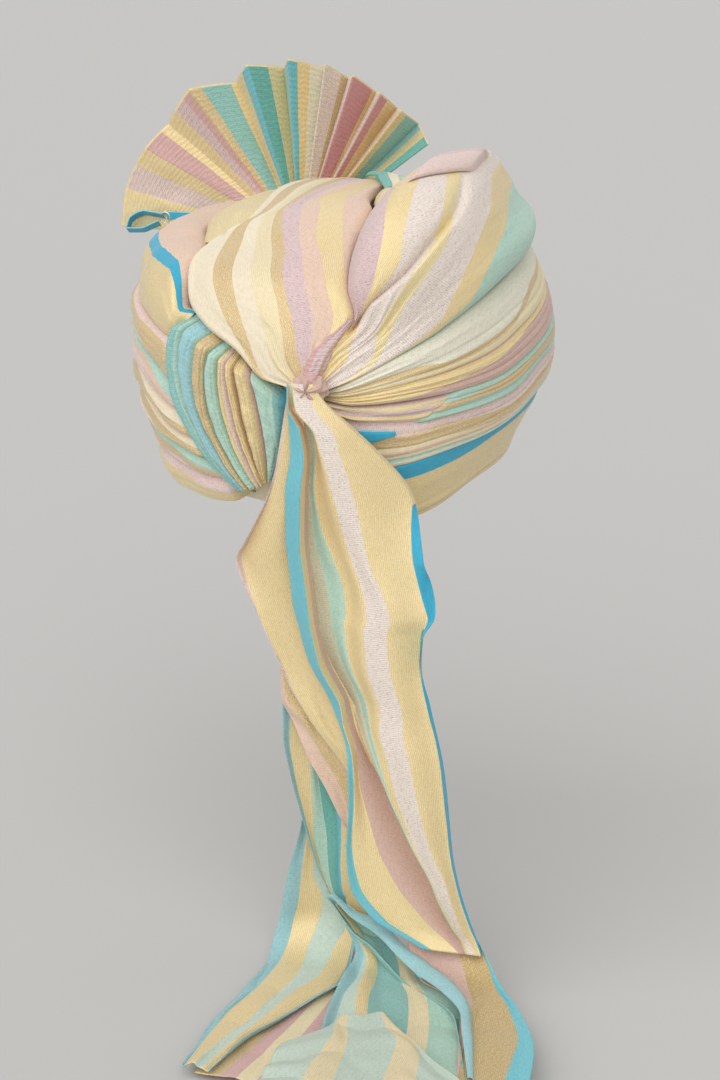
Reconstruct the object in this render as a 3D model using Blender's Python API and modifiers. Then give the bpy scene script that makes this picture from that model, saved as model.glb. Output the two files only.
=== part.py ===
"""A tied turban: a wound body over an open head hollow, folded wraps, a pleated fan and a long tail.

The wearer looks along -Y, so the knot and the tail are at +Y, and the fan stands over the front left.
The origin is the middle of the hollow's roof, where the turban bears on the head.
Lengths are in metres. A place on the body is a turn (degrees from the back, towards the wearer's right)
and a rise (degrees above the body's widest line).
"""

import math

import bmesh
import bpy
import numpy as np
from mathutils import Vector

# Body
BODY_HALF_WIDTH = 0.137
BODY_HALF_LENGTH = 0.148
CROWN_RISE = 0.104
RIM_REACH = 0.118
SHOULDER_FULLNESS = 0.70
RIM_FULLNESS = 0.30
TILT_BACK = 3.0
LEAN_RIGHT = 2.0

# Head hollow
HEAD_HALF_WIDTH = 0.083
HEAD_HALF_LENGTH = 0.101
HOLLOW_RISE = 0.070
HOLLOW_FULLNESS = 0.62

# Cloth layers
LAYER_DEPTH = 0.010
SEAT_GAP = 0.0014
EDGE_GAP = 0.0005
FOLDED_EDGE = 0.0030
BUNDLE_PROUD = 0.004
LOBE_PROUD = 0.034
LOBE_LIFT = 0.0022
BUNDLE_DROP = 0.0006
RIM_ANGLE = -50.0
JOIN_TURN = 180.0
JOIN_SLANT = 0.25

# Fan
FAN_RADIUS = 0.124
FAN_SIDE = 0.055
FAN_DEPTH_PLACE = 0.085
FAN_HEIGHT = 0.044
FAN_PLEAT = 0.007
FAN_WALL = 0.0014
FAN_SEAT = 0.0007

# Tail
TAIL_WIDTH = 0.127
TAIL_DROP = 0.378
TAIL_WALL = 0.0018
HANG_DEPTH = 0.157
FLOOR_DEPTH = 0.386
TAIL_LIFT = 0.0105
TAIL_STEP = 0.0022
TAIL_SPACING = 0.006

# Trims
PIN_RADIUS = 0.0036
PIN_WIRE = 0.0006
KNOT_WIDTH = 0.026
KNOT_HEIGHT = 0.017
KNOT_DEPTH = 0.012
RIBBON_WIDTH = 0.009
RIBBON_WALL = 0.0012
RIBBON_GAP = 0.0006
TUCK_DEPTH = 0.006
STRIP_DEPTH = 0.0045
STRIP_HALF_TURN = 2.2
KNOT_PLACE = (6.0, 3.5)
KNOT_PUCKERS = 7
PUCKER_DEPTH = 0.08
TAIL_BEND = 0.030
FLOOR_STEP = 0.004
LOWEST_LAYER = 3
WRAP_JOIN_GAP = 0.4

# Edges of the wraps. Columns: turn, rise
SEAM_RIGHT = ((8, 0), (11, 1), (27, 11), (39, 18), (57, 28), (80, 35), (112, 39), (140, 42), (180, 46))
EDGE_AB = ((8, -1), (11, -1), (37, 4), (46, 6), (58, 9), (75, 15), (100, 20), (140, 24), (180, 28))
EDGE_BC = ((8, -3), (20, -4), (37, -3), (49, -2), (59, -1), (76, 4), (100, 9), (140, 12), (180, 14))
EDGE_CD = ((3, -4), (12, -6), (20, -9), (34, -10), (40, -9), (66, -6), (84, 0), (140, 2), (180, 3))
EDGE_DE = ((-8, -27), (27, -25), (45, -22), (60, -20), (71, -17), (82, -12), (100, -9), (180, -9))
RIM_RIGHT = ((-8, -44), (20, -48), (36, RIM_ANGLE), (180, RIM_ANGLE))
ROLL_TOP = ((-180, 46), (-120, 48), (-80, 49), (-56, 48), (-44, 44), (-38, 34), (-34, 22))
EDGE_L0 = ((-180, 28), (-135, 25), (-90, 20), (-56, 13), (-44, 11), (-34, 9))
EDGE_L1 = ((-180, 14), (-135, 13), (-90, 10), (-60, 4), (-46, 0), (-34, -6))
EDGE_L2 = ((-180, 3), (-135, 2), (-90, -1), (-53, -8), (-42, -11), (-31, -14))
EDGE_L3 = ((-180, -8), (-135, -8), (-90, -11), (-50, -17), (-39, -19), (-28, -21))
EDGE_L4 = ((-180, -18), (-90, -20), (-50, -24), (-36, -25), (-24, -27))
EDGE_L5 = ((-180, -30), (-90, -31), (-48, -33), (-32, -33), (-18, -33))
BLUE_TUCK_LOW = ((16, -16), (28, -12))
BLUE_TUCK_HIGH = ((16, -11), (28, -11))
RIM_LEFT = ((-180, RIM_ANGLE), (-90, RIM_ANGLE), (-40, -48), (-25, -46), (-13, -42))

# Lines between the folds of the left bundle. Columns: top turn, top rise, middle turn, foot turn, foot rise
BUNDLE_LINES = (
    (-33.0, 20.0, -38.0, -13.5, -35.0),
    (-31.0, 21.0, -32.0, -12.5, -34.2),
    (-26.5, 18.0, -27.5, -11.5, -33.4),
    (-21.5, 13.5, -23.5, -10.5, -32.6),
    (-18.0, 11.0, -19.5, -9.5, -31.8),
    (-15.0, 9.5, -15.8, -8.5, -31.0),
    (-12.5, 8.0, -12.6, -7.5, -30.2),
    (-9.5, 6.0, -9.0, -6.0, -29.4),
    (1.5, -2.0, 1.0, -4.0, -28.0),
)

# Sections of the crown, from the knot over the top to the front. Columns: left edge, left side of the parting,
# right side of the parting, right seam; each place is a turn and a rise, and the seam's rise is the wrap's
CROWN_SECTIONS = (
    ((5, 1), (8, 2), (8, 2), 9),
    ((-4, 3), (13, 16), (13, 16), 18),
    ((-13, 12), (19, 25), (19, 25), 30),
    ((-24, 18), (18, 36), (18, 36), 43),
    ((-32, 25), (20, 49), (20, 49), 60),
    ((-38, 36), (27, 65), (28, 63), 80),
    ((-42, 48), (45, 79), (48, 73), 100),
    ((-39, 62), (100, 86), (90, 73), 120),
    ((-60, 74), (150, 76), (125, 66), 140),
    ((-140, 71), (166, 60), (150, 57), 156),
    ((-185, 50), (171, 49), (169, 48), 169),
)
FAN_BASE_EDGE = ((-46, 47.5), (-56, 51), (-90, 52), (-135, 50), (-186, 49))
TUCK_EDGES = (((95, 84), (150, 80), (170, 70), (182, 63)), ((60, 88), (185, 86), (190, 76), (195, 67)))

# Points of the fan's ribbon and of its loop. Columns: direction, share of the radius
RIBBON_POINTS = ((168, 0.73), (163, 0.56), (156, 0.42))
LOOP_POINTS = ((170, 0.81), (174, 0.90), (177, 0.99), (178, 0.94), (178, 0.86), (175, 0.81))
PIN_PLACE = (169, 0.75)

# Folds of the fan. Columns: direction in degrees from the wearer's right, depth as a share of FAN_PLEAT,
# length as a share of FAN_RADIUS
FAN_FOLDS = (
    (178, 0.6, 1.04), (166, 0.2, 1.05), (151, 0.5, 1.01), (141, 0.0, 0.98), (126, 1.0, 1.02),
    (115, -1.0, 0.93), (106, 1.0, 1.00), (97, -1.0, 0.94), (92, 1.0, 1.00), (83, -1.0, 0.94),
    (80, 1.0, 0.99), (74, -1.0, 0.92), (70, 1.0, 0.98), (63, -1.0, 0.91), (60, 1.0, 0.96),
    (54, -1.0, 0.90), (51, 1.0, 0.95), (45, -1.0, 0.92), (37, 0.6, 0.93),
)

# Sections of the tail's layers, down from the knot. Columns: distance as a share of TAIL_DROP,
# left edge and right edge as shares of TAIL_WIDTH from the middle (left is +X)
TAIL_GOLD = (
    (0.03, 0.02, -0.08), (0.10, 0.03, -0.10), (0.16, 0.05, -0.11), (0.21, 0.13, -0.11), (0.26, 0.21, -0.12),
    (0.34, 0.18, -0.14), (0.46, 0.03, -0.24), (0.52, -0.05, -0.34), (0.57, -0.14, -0.42), (0.63, -0.28, -0.46),
)
TAIL_MAIN = (
    (0.027, -0.06, -0.26), (0.06, -0.07, -0.38), (0.11, -0.08, -0.53), (0.18, -0.09, -0.68), (0.25, -0.09, -0.75),
    (0.32, -0.10, -0.79), (0.40, -0.15, -0.74), (0.46, -0.22, -0.74), (0.53, -0.33, -0.76), (0.62, -0.37, -0.82),
    (0.70, -0.37, -0.85), (0.78, -0.36, -0.88), (0.84, -0.38, -0.92), (0.90, -0.50, -0.98), (0.95, -0.75, -1.04),
)
TAIL_TEAL = (
    (0.04, -0.05, -0.22), (0.12, -0.07, -0.40), (0.30, -0.16, -0.60), (0.50, -0.12, -0.62), (0.66, -0.12, -0.66),
    (0.76, -0.14, -0.70), (0.84, -0.16, -0.74), (0.93, -0.20, -0.86), (1.02, -0.28, -0.99), (1.12, -0.30, -1.05),
    (1.24, -0.26, -1.12), (1.38, -0.22, -1.16),
)
TAIL_SHEER = (
    (0.05, -0.08, -0.18), (0.20, -0.08, -0.24), (0.34, 0.06, -0.30), (0.50, 0.00, -0.40), (0.62, -0.02, -0.42),
    (0.74, -0.08, -0.44), (0.84, -0.02, -0.42), (0.92, 0.02, -0.40), (1.00, 0.06, -0.40), (1.12, 0.07, -0.42),
    (1.24, 0.10, -0.46), (1.38, 0.12, -0.52),
)
TAIL_FOOT = (
    (0.9525, -0.98, -1.04), (1.02, -1.00, -1.18), (1.08, -1.04, -1.30), (1.18, -1.10, -1.42), (1.28, -1.14, -1.46),
    (1.38, -1.17, -1.47),
)
WAVE_HEIGHT = 0.006

# Colours: red, green, blue, roughness, metallic
CLOTH = {
    "gold": (0.72, 0.55, 0.26, 0.50, 0.25),
    "cream": (0.84, 0.76, 0.55, 0.70, 0.0),
    "pink": (0.74, 0.52, 0.50, 0.70, 0.0),
    "mint": (0.42, 0.70, 0.60, 0.70, 0.0),
    "teal": (0.16, 0.52, 0.50, 0.65, 0.0),
    "turquoise": (0.03, 0.44, 0.60, 0.60, 0.0),
    "steel": (0.60, 0.60, 0.60, 0.30, 1.0),
}


def clear_scene():
    for thing in list(bpy.data.objects):
        bpy.data.objects.remove(thing)


def smooth(rows, key, column=1):
    """Value of one column of a table at this key, on a smooth curve that never overshoots its rows."""
    keys = np.array([row[0] for row in rows], float)
    values = np.array([row[column] for row in rows], float)
    steps = np.diff(values) / np.diff(keys)
    slopes = np.zeros_like(values)
    same_way = steps[:-1] * steps[1:] > 0
    mean = 2 * steps[:-1] * steps[1:] / np.where(same_way, steps[:-1] + steps[1:], 1)
    slopes[1:-1] = np.where(same_way, mean, 0)
    slopes[0], slopes[-1] = steps[0], steps[-1]
    key = np.clip(key, keys[0], keys[-1])
    cell = np.clip(np.searchsorted(keys, key, side="right") - 1, 0, len(keys) - 2)
    span = keys[cell + 1] - keys[cell]
    share = (key - keys[cell]) / span
    start = (1 + 2 * share) * (1 - share) ** 2 * values[cell] + share * (1 - share) ** 2 * span * slopes[cell]
    end = share**2 * (3 - 2 * share) * values[cell + 1] + share**2 * (share - 1) * span * slopes[cell + 1]
    return start + end


def mix(first, second, share):
    return first + (second - first) * share


def ease(low, high, value):
    share = np.clip((value - low) / (high - low), 0, 1)
    return share * share * (3 - 2 * share)


def settle(x, y, z):
    """Turns a point of the upright body to its worn tilt and moves the origin to the hollow's roof."""
    tilt = math.radians(TILT_BACK)
    lean = math.radians(LEAN_RIGHT)
    back = y * math.cos(tilt) + z * math.sin(tilt)
    up = z * math.cos(tilt) - y * math.sin(tilt) + x * math.sin(lean)
    return np.stack([x * math.cos(lean), back, up - HOLLOW_RISE], axis=-1)


def skin(turn, rise, out=0.0):
    """Point over the finished outer form of the body."""
    turn = np.radians(turn)
    rise = np.radians(rise)
    level = np.abs(np.cos(rise))
    above = rise > 0
    girth = np.where(above, level**SHOULDER_FULLNESS, level**RIM_FULLNESS)
    height = np.where(above, CROWN_RISE + out, RIM_REACH + out) * np.sin(rise)
    x = -(BODY_HALF_WIDTH + out) * girth * np.sin(turn)
    y = (BODY_HALF_LENGTH + out) * girth * np.cos(turn)
    return settle(x, y, height)


def material(name):
    red, green, blue, roughness, metallic = CLOTH[name]
    finish = bpy.data.materials.get(name) or bpy.data.materials.new(name)
    finish.use_nodes = True
    shader = finish.node_tree.nodes["Principled BSDF"]
    shader.inputs["Base Color"].default_value = (red, green, blue, 1)
    shader.inputs["Roughness"].default_value = roughness
    shader.inputs["Metallic"].default_value = metallic
    return finish


def add_object(name, mesh, finish, parent, collection):
    thing = bpy.data.objects.new(name, mesh)
    collection.objects.link(thing)
    thing.parent = parent
    mesh.materials.append(material(finish))
    mesh.shade_smooth()
    return thing


def grid_mesh(name, columns, rows, where):
    """An open sheet: a grid whose points are moved to where(u, v)."""
    shape = bmesh.new()
    bmesh.ops.create_grid(shape, x_segments=columns, y_segments=rows, size=0.5)
    for vertex in shape.verts:
        vertex.co = where(vertex.co.x + 0.5, vertex.co.y + 0.5)
    mesh = bpy.data.meshes.new(name)
    shape.to_mesh(mesh)
    shape.free()
    return mesh


def rounding(share, width):
    """From 0 at an edge to 1 where the cloth's rounded border ends."""
    inward = np.clip(1 - np.minimum(share, 1 - share) / width, 0, 1)
    return np.sqrt(1 - inward**2)


def spread(share, border):
    """Moves evenly spaced shares so that more of them fall in the rounded borders."""
    return share - border * np.sin(2 * np.pi * share) / (2 * np.pi)


class Builder:
    """Makes each piece as its own object, in one collection under one parent."""

    def __init__(self):
        self.parts = bpy.data.collections.new("tied_turban")
        bpy.context.scene.collection.children.link(self.parts)
        self.parent = bpy.data.objects.new("turban", None)
        self.parts.objects.link(self.parent)

    def add(self, name, mesh, finish):
        return add_object(name, mesh, finish, self.parent, self.parts)

    def fold(self, name, finish, at, columns, rows, depth, lift=0.0, sides=0.3, ends=0.08, swell=None):
        """Folded cloth laid on the body: thin at its folded edges, full between them."""
        base = lift - LAYER_DEPTH

        def where(u, v):
            return skin(*at(spread(u, 0.3), spread(v, 0.6)), base)

        mesh = grid_mesh(name, columns, rows, where)
        thing = self.add(name, mesh, finish)
        body = thing.vertex_groups.new(name="fullness")
        for index in range((columns + 1) * (rows + 1)):
            u = spread(index % (columns + 1) / columns, 0.3)
            v = spread(index // (columns + 1) / rows, 0.6)
            height = mix(FOLDED_EDGE, depth, rounding(v, sides) * rounding(u, ends))
            if swell:
                height = height + swell(u, v) * rounding(v, sides)
            body.add([index], float(height / (depth + LOBE_PROUD)), "REPLACE")
        middle = Vector((0, 0, -HOLLOW_RISE))
        inward = sum(face.area * face.normal.dot(face.center - middle) for face in mesh.polygons) < 0
        wall = thing.modifiers.new("depth", "SOLIDIFY")
        wall.thickness = depth + LOBE_PROUD
        wall.offset = -1 if inward else 1
        wall.vertex_group = "fullness"
        return thing


def between(low, high, start, end):
    """A band round the body between two edges, from one turn to another, each given at its low and high edge."""
    def at(u, v):
        turn = mix(mix(start[0], start[1], v), mix(end[0], end[1], v), u)
        return turn, mix(smooth(low, turn) + edge_angle(), smooth(high, turn) - edge_angle(), v)
    return at


def edge_angle():
    return math.degrees(EDGE_GAP / CROWN_RISE)


def join(low, high, side):
    """Turns at which a band ends at the slanted join in front, at its low and high edge."""
    ends = []
    for edge in (low, high):
        rise = edge[-1][1] if side > 0 else edge[0][1]
        ends.append(side * JOIN_TURN + JOIN_SLANT * rise - side * WRAP_JOIN_GAP)
    return tuple(ends)


def make_inner_wraps(builder):
    """The inner turns: a sphere whose lower half is pushed up inside to make the head hollow."""
    columns, outer, inner = 36, 13, 6
    total = outer + inner + 2
    shape = bmesh.new()
    bmesh.ops.create_uvsphere(shape, u_segments=columns, v_segments=total, radius=1.0)
    for vertex in shape.verts:
        ring = round(math.acos(max(-1, min(1, vertex.co.z))) / math.pi * total)
        turn = math.degrees(math.atan2(-vertex.co.x, vertex.co.y))
        if ring <= outer:
            rise = mix(90.0, RIM_ANGLE, ring / outer)
            vertex.co = skin(turn, rise, -LAYER_DEPTH - SEAT_GAP)
        else:
            share = (ring - outer - 1) / (total - outer - 1)
            vertex.co = hollow(turn, share)
    mesh = bpy.data.meshes.new("inner_wraps")
    bmesh.ops.recalc_face_normals(shape, faces=shape.faces)
    shape.to_mesh(mesh)
    shape.free()
    return builder.add("inner_wraps", mesh, "cream")


def hollow(turn, share):
    """Point on the wall of the head hollow, from the rim (0) to its roof (1)."""
    turn = math.radians(turn)
    foot = RIM_REACH * math.sin(math.radians(RIM_ANGLE))
    angle = share * math.pi / 2
    girth = math.cos(angle) ** HOLLOW_FULLNESS
    height = mix(foot, HOLLOW_RISE, math.sin(angle))
    x = -HEAD_HALF_WIDTH * girth * math.sin(turn)
    y = HEAD_HALF_LENGTH * girth * math.cos(turn)
    return settle(x, y, height)


def chart(turn, rise):
    """Flat chart of the crown, with its top in the middle."""
    reach = 90 - rise
    return reach * np.sin(np.radians(turn)), reach * np.cos(np.radians(turn))


def unchart(across, back):
    return np.degrees(np.arctan2(across, back)), 90 - np.hypot(across, back)


def along(rows, share):
    """Point of a line of turns and rises on the chart, at this share of its rows."""
    points = np.array([chart(turn, rise) for turn, rise in rows])
    table = np.column_stack([np.linspace(0, 1, len(points)), points])
    return np.array([smooth(table, share, 1), smooth(table, share, 2)])


def crown_line(column):
    """One of the four lines of the crown. The last column's rise follows the upper edge of the wraps."""
    if column < 3:
        return [row[column] for row in CROWN_SECTIONS]
    return [(row[3], float(smooth(SEAM_RIGHT, row[3]))) for row in CROWN_SECTIONS]


def stretch(rows, start=0.0, end=1.0):
    """Part of a line over the crown, from one share of its rows to another."""
    return lambda share: along(rows, mix(start, end, share))


def lobe(first, second, gap=1.0):
    """Cloth between two stretches of lines over the crown."""
    def at(u, v):
        one, two = first(u), second(u)
        inset = min(0.3, gap * edge_angle() / (np.hypot(*(two - one)) + 0.01))
        return unchart(*mix(one, two, mix(inset, 1 - inset, v)))
    return at


def make_crown(builder):
    left, parting_left, parting_right, seam = (crown_line(column) for column in range(4))
    full = LAYER_DEPTH - LOBE_LIFT
    left_lobe = lobe(stretch(left), stretch(parting_left))
    builder.fold("crown_left_lobe", "cream", left_lobe, 17, 8, full, lift=LOBE_LIFT, sides=0.14, ends=0.05)

    def swell(u, v):
        return LOBE_PROUD * ease(0.18, 0.5, u) * ease(1.0, 0.66, u) * (1 - 0.45 * ease(0.3, 0.8, v))

    builder.fold(
        "crown_right_lobe", "pink", lobe(stretch(parting_right), stretch(seam), gap=1.6), 17, 8, full,
        lift=LOBE_LIFT, sides=0.24, ends=0.08, swell=swell,
    )
    flap = lobe(stretch(parting_left, 0.5, 0.97), stretch(parting_right, 0.5, 0.97), gap=3.0)
    builder.fold("crown_flap", "pink", flap, 12, 3, LAYER_DEPTH * 1.3, lift=-BUNDLE_DROP, sides=0.5, ends=0.2)
    base = lobe(stretch(FAN_BASE_EDGE), stretch(left, 0.62), gap=6.0)
    builder.fold("fan_base", "gold", base, 12, 4, full, lift=LOBE_LIFT, sides=0.3, ends=0.1)


def make_right_wraps(builder):
    edges = (
        ("right_wrap_1", "cream", EDGE_AB, SEAM_RIGHT, 11, 12, 4),
        ("right_wrap_2", "gold", EDGE_BC, EDGE_AB, 13, 13, 4),
        ("right_wrap_3", "mint", EDGE_CD, EDGE_BC, 33, 33, 4),
        ("right_wrap_4", "pink", EDGE_DE, EDGE_CD, -1, 4, 4),
        ("rim_wrap", "gold", RIM_RIGHT, EDGE_DE, -2, -1, 5),
    )
    for name, finish, low, high, start_low, start_high, rows in edges:
        at = between(low, high, (start_low, start_high), join(low, high, 1))
        builder.fold(name, finish, at, 16, rows, LAYER_DEPTH, ends=0.05)
    tuck = between(EDGE_CD, EDGE_BC, (12, 12), (32, 32))
    builder.fold("knot_tuck", "gold", tuck, 4, 3, LAYER_DEPTH * 0.9, ends=0.3)
    blue = between(BLUE_TUCK_LOW, BLUE_TUCK_HIGH, (17, 17), (27, 27))
    builder.fold("blue_tuck", "turquoise", blue, 3, 2, FOLDED_EDGE, lift=LAYER_DEPTH, ends=0.3)


def make_strip(builder):
    """Gathered strip that runs from the knot up the crease to the stitched pinch."""
    def at(u, v):
        turn, rise = unchart(*along(crown_line(1)[:4], mix(0.26, 0.80, u)))
        return turn + mix(-1, 1, v) * STRIP_HALF_TURN * (1 - 0.5 * u), rise
    builder.fold("gathered_strip", "pink", at, 7, 2, STRIP_DEPTH, lift=LAYER_DEPTH + EDGE_GAP, sides=0.5, ends=0.2)


def make_left_wraps(builder):
    edges = (
        ("left_top_roll", "gold", EDGE_L0, ROLL_TOP, 5),
        ("left_roll_1", "pink", EDGE_L1, EDGE_L0, 4),
        ("left_roll_2", "cream", EDGE_L2, EDGE_L1, 3),
        ("left_roll_3", "gold", EDGE_L3, EDGE_L2, 3),
        ("left_roll_4", "mint", EDGE_L4, EDGE_L3, 3),
        ("left_roll_5", "pink", EDGE_L5, EDGE_L4, 3),
        ("left_roll_6", "gold", RIM_LEFT, EDGE_L5, 3),
    )
    outer_line = BUNDLE_LINES[0]
    for name, finish, low, high, rows in edges:
        starts = []
        for edge in (low, high):
            rise = edge[-1][1]
            starts.append(bundle_turn(outer_line, rise) - 1.2)
        at = between(low, high, join(low, high, -1), tuple(starts))
        builder.fold(name, finish, at, 14, rows, LAYER_DEPTH, ends=0.06)


def bundle_point(line, share):
    """Place on a line of the left bundle, from its top (0) to its foot (1)."""
    top_turn, top_rise, middle_turn, foot_turn, foot_rise = line
    pull = 2 * middle_turn - (top_turn + foot_turn) / 2
    turn = top_turn * (1 - share) ** 2 + 2 * pull * share * (1 - share) + foot_turn * share**2
    return turn, mix(top_rise, foot_rise, share)


def bundle_turn(line, rise):
    share = np.clip((rise - line[1]) / (line[4] - line[1]), 0, 1)
    return bundle_point(line, share)[0]


def make_left_bundle(builder):
    finishes = ("teal", "teal", "gold", "mint", "gold", "pink", "gold", "mint")
    for index, finish in enumerate(finishes):
        left, right = BUNDLE_LINES[index], BUNDLE_LINES[index + 1]

        def at(u, v, left=left, right=right):
            first = np.array(bundle_point(left, u))
            second = np.array(bundle_point(right, u))
            gap = 0.35 / (second[0] - first[0] + 0.001)
            return mix(first, second, mix(gap, 1 - gap, v))

        builder.fold(
            f"bundle_fold_{index + 1}", finish, at, 9, 2 if index < 7 else 4,
            LAYER_DEPTH + BUNDLE_PROUD, lift=-BUNDLE_DROP, sides=0.4, ends=0.1,
        )


def make_knot(builder):
    """Gathered cloth of the knot, a puckered ball seated in the meeting of the lobes."""
    shape = bmesh.new()
    bmesh.ops.create_uvsphere(shape, u_segments=14, v_segments=8, radius=0.5)
    centre = skin(*KNOT_PLACE, KNOT_DEPTH / 2 + EDGE_GAP)
    for vertex in shape.verts:
        around = math.atan2(vertex.co.z, vertex.co.x)
        pucker = 1 + PUCKER_DEPTH * math.cos(KNOT_PUCKERS * around)
        x = vertex.co.x * KNOT_WIDTH * pucker
        z = vertex.co.z * KNOT_HEIGHT * pucker
        vertex.co = centre + np.array([x, vertex.co.y * KNOT_DEPTH, z])
    mesh = bpy.data.meshes.new("knot")
    shape.to_mesh(mesh)
    shape.free()
    builder.add("knot", mesh, "pink")


def fan_point(direction, depth, radius):
    angle = math.radians(direction)
    x = FAN_SIDE - radius * math.cos(angle)
    z = FAN_HEIGHT + radius * math.sin(angle)
    return np.array([x, -FAN_DEPTH_PLACE + depth, z - HOLLOW_RISE])


def body_share(point):
    """How far out a point is: 1 on the skin of the body."""
    tilt = math.radians(TILT_BACK)
    lean = math.radians(LEAN_RIGHT)
    x = point[0] / math.cos(lean)
    up = point[2] + HOLLOW_RISE - x * math.sin(lean)
    y = point[1] * math.cos(tilt) - up * math.sin(tilt)
    z = up * math.cos(tilt) + point[1] * math.sin(tilt)
    level = math.hypot(x / (BODY_HALF_WIDTH + FAN_SEAT), y / (BODY_HALF_LENGTH + FAN_SEAT))
    if level >= 1:
        return 2.0
    rise = math.acos(min(1, level ** (1 / SHOULDER_FULLNESS)))
    return z / ((CROWN_RISE + FAN_SEAT) * math.sin(rise))


def fan_foot(direction, depth):
    """Distance from the fan's middle at which a fold comes out of the body."""
    low, high = 0.0, FAN_RADIUS
    for _ in range(30):
        half = (low + high) / 2
        if body_share(fan_point(direction, depth, half)) < 1:
            low = half
        else:
            high = half
    return high


def make_fan(builder):
    folds = np.array(FAN_FOLDS, float)

    def where(u, v):
        place = u * (len(folds) - 1)
        index = min(int(place + 1e-6), len(folds) - 1)
        direction, depth, length = folds[index]
        foot = fan_foot(direction, depth * FAN_PLEAT * 0.5)
        radius = mix(foot, FAN_RADIUS * length, v)
        return fan_point(direction, depth * FAN_PLEAT * radius / FAN_RADIUS, radius)

    mesh = grid_mesh("fan", len(folds) - 1, 3, where)
    thing = builder.add("fan", mesh, "gold")
    wall = thing.modifiers.new("wall", "SOLIDIFY")
    wall.thickness = FAN_WALL
    wall.offset = 0


def fan_surface(direction, length):
    """How far in front of its plane the fan's cloth lies, at a direction and a share of its radius."""
    folds = FAN_FOLDS[::-1]
    return float(np.interp(direction, [fold[0] for fold in folds], [fold[1] for fold in folds])) * FAN_PLEAT * length


def ribbon(builder, name, points, rising, standing):
    """A ribbon on the fan, through points given as direction and share of the radius. It stands up or out."""
    def where(u, v):
        share = u * (len(points) - 1)
        cell = min(int(share + 1e-6), len(points) - 2)
        direction, length = mix(np.array(points[cell], float), np.array(points[cell + 1], float), share - cell)
        half_wall = 0 if standing else RIBBON_WALL / 2
        near = fan_surface(direction, length) + FAN_WALL / 2 + half_wall + RIBBON_GAP
        return fan_point(direction, near + standing * v, length * FAN_RADIUS) + np.array([0, 0, rising * (v - 0.5)])

    mesh = grid_mesh(name, 2 * (len(points) - 1), 1, where)
    thing = builder.add(name, mesh, "turquoise")
    wall = thing.modifiers.new("wall", "SOLIDIFY")
    wall.thickness = RIBBON_WALL
    wall.offset = 0


def make_fan_trims(builder):
    ribbon(builder, "fan_ribbon", RIBBON_POINTS, RIBBON_WIDTH * 0.6, 0)
    ribbon(builder, "fan_loop", LOOP_POINTS, 0, RIBBON_WIDTH)
    tuck = lobe(*[stretch(edge) for edge in TUCK_EDGES])
    builder.fold("fan_tuck", "mint", tuck, 7, 3, TUCK_DEPTH, lift=LAYER_DEPTH, sides=0.5, ends=0.3)


def tail_place(distance, x, behind):
    """Point of the tail: down the back of the body, free below the rim, then out along the floor."""
    drop = distance * TAIL_DROP
    floor = FLOOR_DEPTH - behind_lift(behind)
    hang_end = floor - TAIL_BEND
    quarter = TAIL_BEND * math.pi / 2
    if drop < hang_end:
        z = -drop
        y = tail_depth(x, z)
    elif drop < hang_end + quarter:
        angle = (drop - hang_end) / TAIL_BEND
        z = -(hang_end + TAIL_BEND * math.sin(angle))
        y = tail_depth(x, -hang_end) + TAIL_BEND * (1 - math.cos(angle))
    else:
        z = -floor
        y = tail_depth(x, -hang_end) + TAIL_BEND + drop - hang_end - quarter
    return np.array([x, y - behind_depth(behind, z), z - HOLLOW_RISE])


def behind_lift(behind):
    return TAIL_WALL / 2 + (LOWEST_LAYER - behind) * FLOOR_STEP


def behind_depth(behind, z):
    return behind * mix(TAIL_STEP, TAIL_SPACING, ease(-0.06, -0.14, z))


def tail_depth(x, z):
    round_part = (BODY_HALF_LENGTH + TAIL_LIFT) * math.sqrt(max(0.0, 1 - (x / (BODY_HALF_WIDTH + TAIL_LIFT)) ** 2))
    return mix(round_part, HANG_DEPTH, float(ease(-0.05, -0.15, z)))


def tail_sheet(builder, name, finish, rows, behind, columns, lines, waves, wave_share, end=None):
    last = rows[-1][0] if end is None else end

    def where(u, v):
        distance = mix(rows[0][0], last, v)
        left = smooth(rows, distance, 1) * TAIL_WIDTH
        right = smooth(rows, distance, 2) * TAIL_WIDTH
        x = mix(left, right, u)
        point = tail_place(distance, x, behind)
        free = float(ease(0.25, 0.45, distance) * ease(1.02, 0.85, distance))
        wave = WAVE_HEIGHT * wave_share * free * math.sin(2 * math.pi * waves * u)
        return point + np.array([0, wave, 0])

    mesh = grid_mesh(name, columns, lines, where)
    thing = builder.add(name, mesh, finish)
    wall = thing.modifiers.new("wall", "SOLIDIFY")
    wall.thickness = TAIL_WALL
    wall.offset = 0


def make_tail(builder):
    tail_sheet(builder, "tail_gold_panel", "gold", TAIL_GOLD, 1, 4, 15, 0.5, 0.3)
    tail_sheet(builder, "tail_main_panel", "cream", TAIL_MAIN, 0, 7, 20, 1.5, 0.4)
    tail_sheet(builder, "tail_teal_layer", "teal", TAIL_TEAL, 2, 6, 22, 1.5, 0.4)
    tail_sheet(builder, "tail_sheer_layer", "mint", TAIL_SHEER, 3, 5, 22, 1.0, 0.4)
    tail_sheet(builder, "tail_floor_panel", "gold", TAIL_FOOT, 0, 4, 10, 0.5, 0.0)


def make_pin(builder):
    """Wire ring of the pin that holds the fan's ribbon."""
    direction, length = PIN_PLACE
    near = fan_surface(direction, length) + FAN_WALL / 2 + RIBBON_WALL + 2 * RIBBON_GAP + PIN_WIRE
    place = fan_point(direction, near, FAN_RADIUS * length)
    bpy.ops.mesh.primitive_torus_add(
        major_segments=14, minor_segments=6, major_radius=PIN_RADIUS, minor_radius=PIN_WIRE,
    )
    ring = bpy.context.object
    mesh = ring.data
    bpy.data.objects.remove(ring)
    thing = builder.add("fan_pin", mesh, "steel")
    thing.location = place
    thing.rotation_euler = (math.radians(90), 0, 0)


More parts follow.
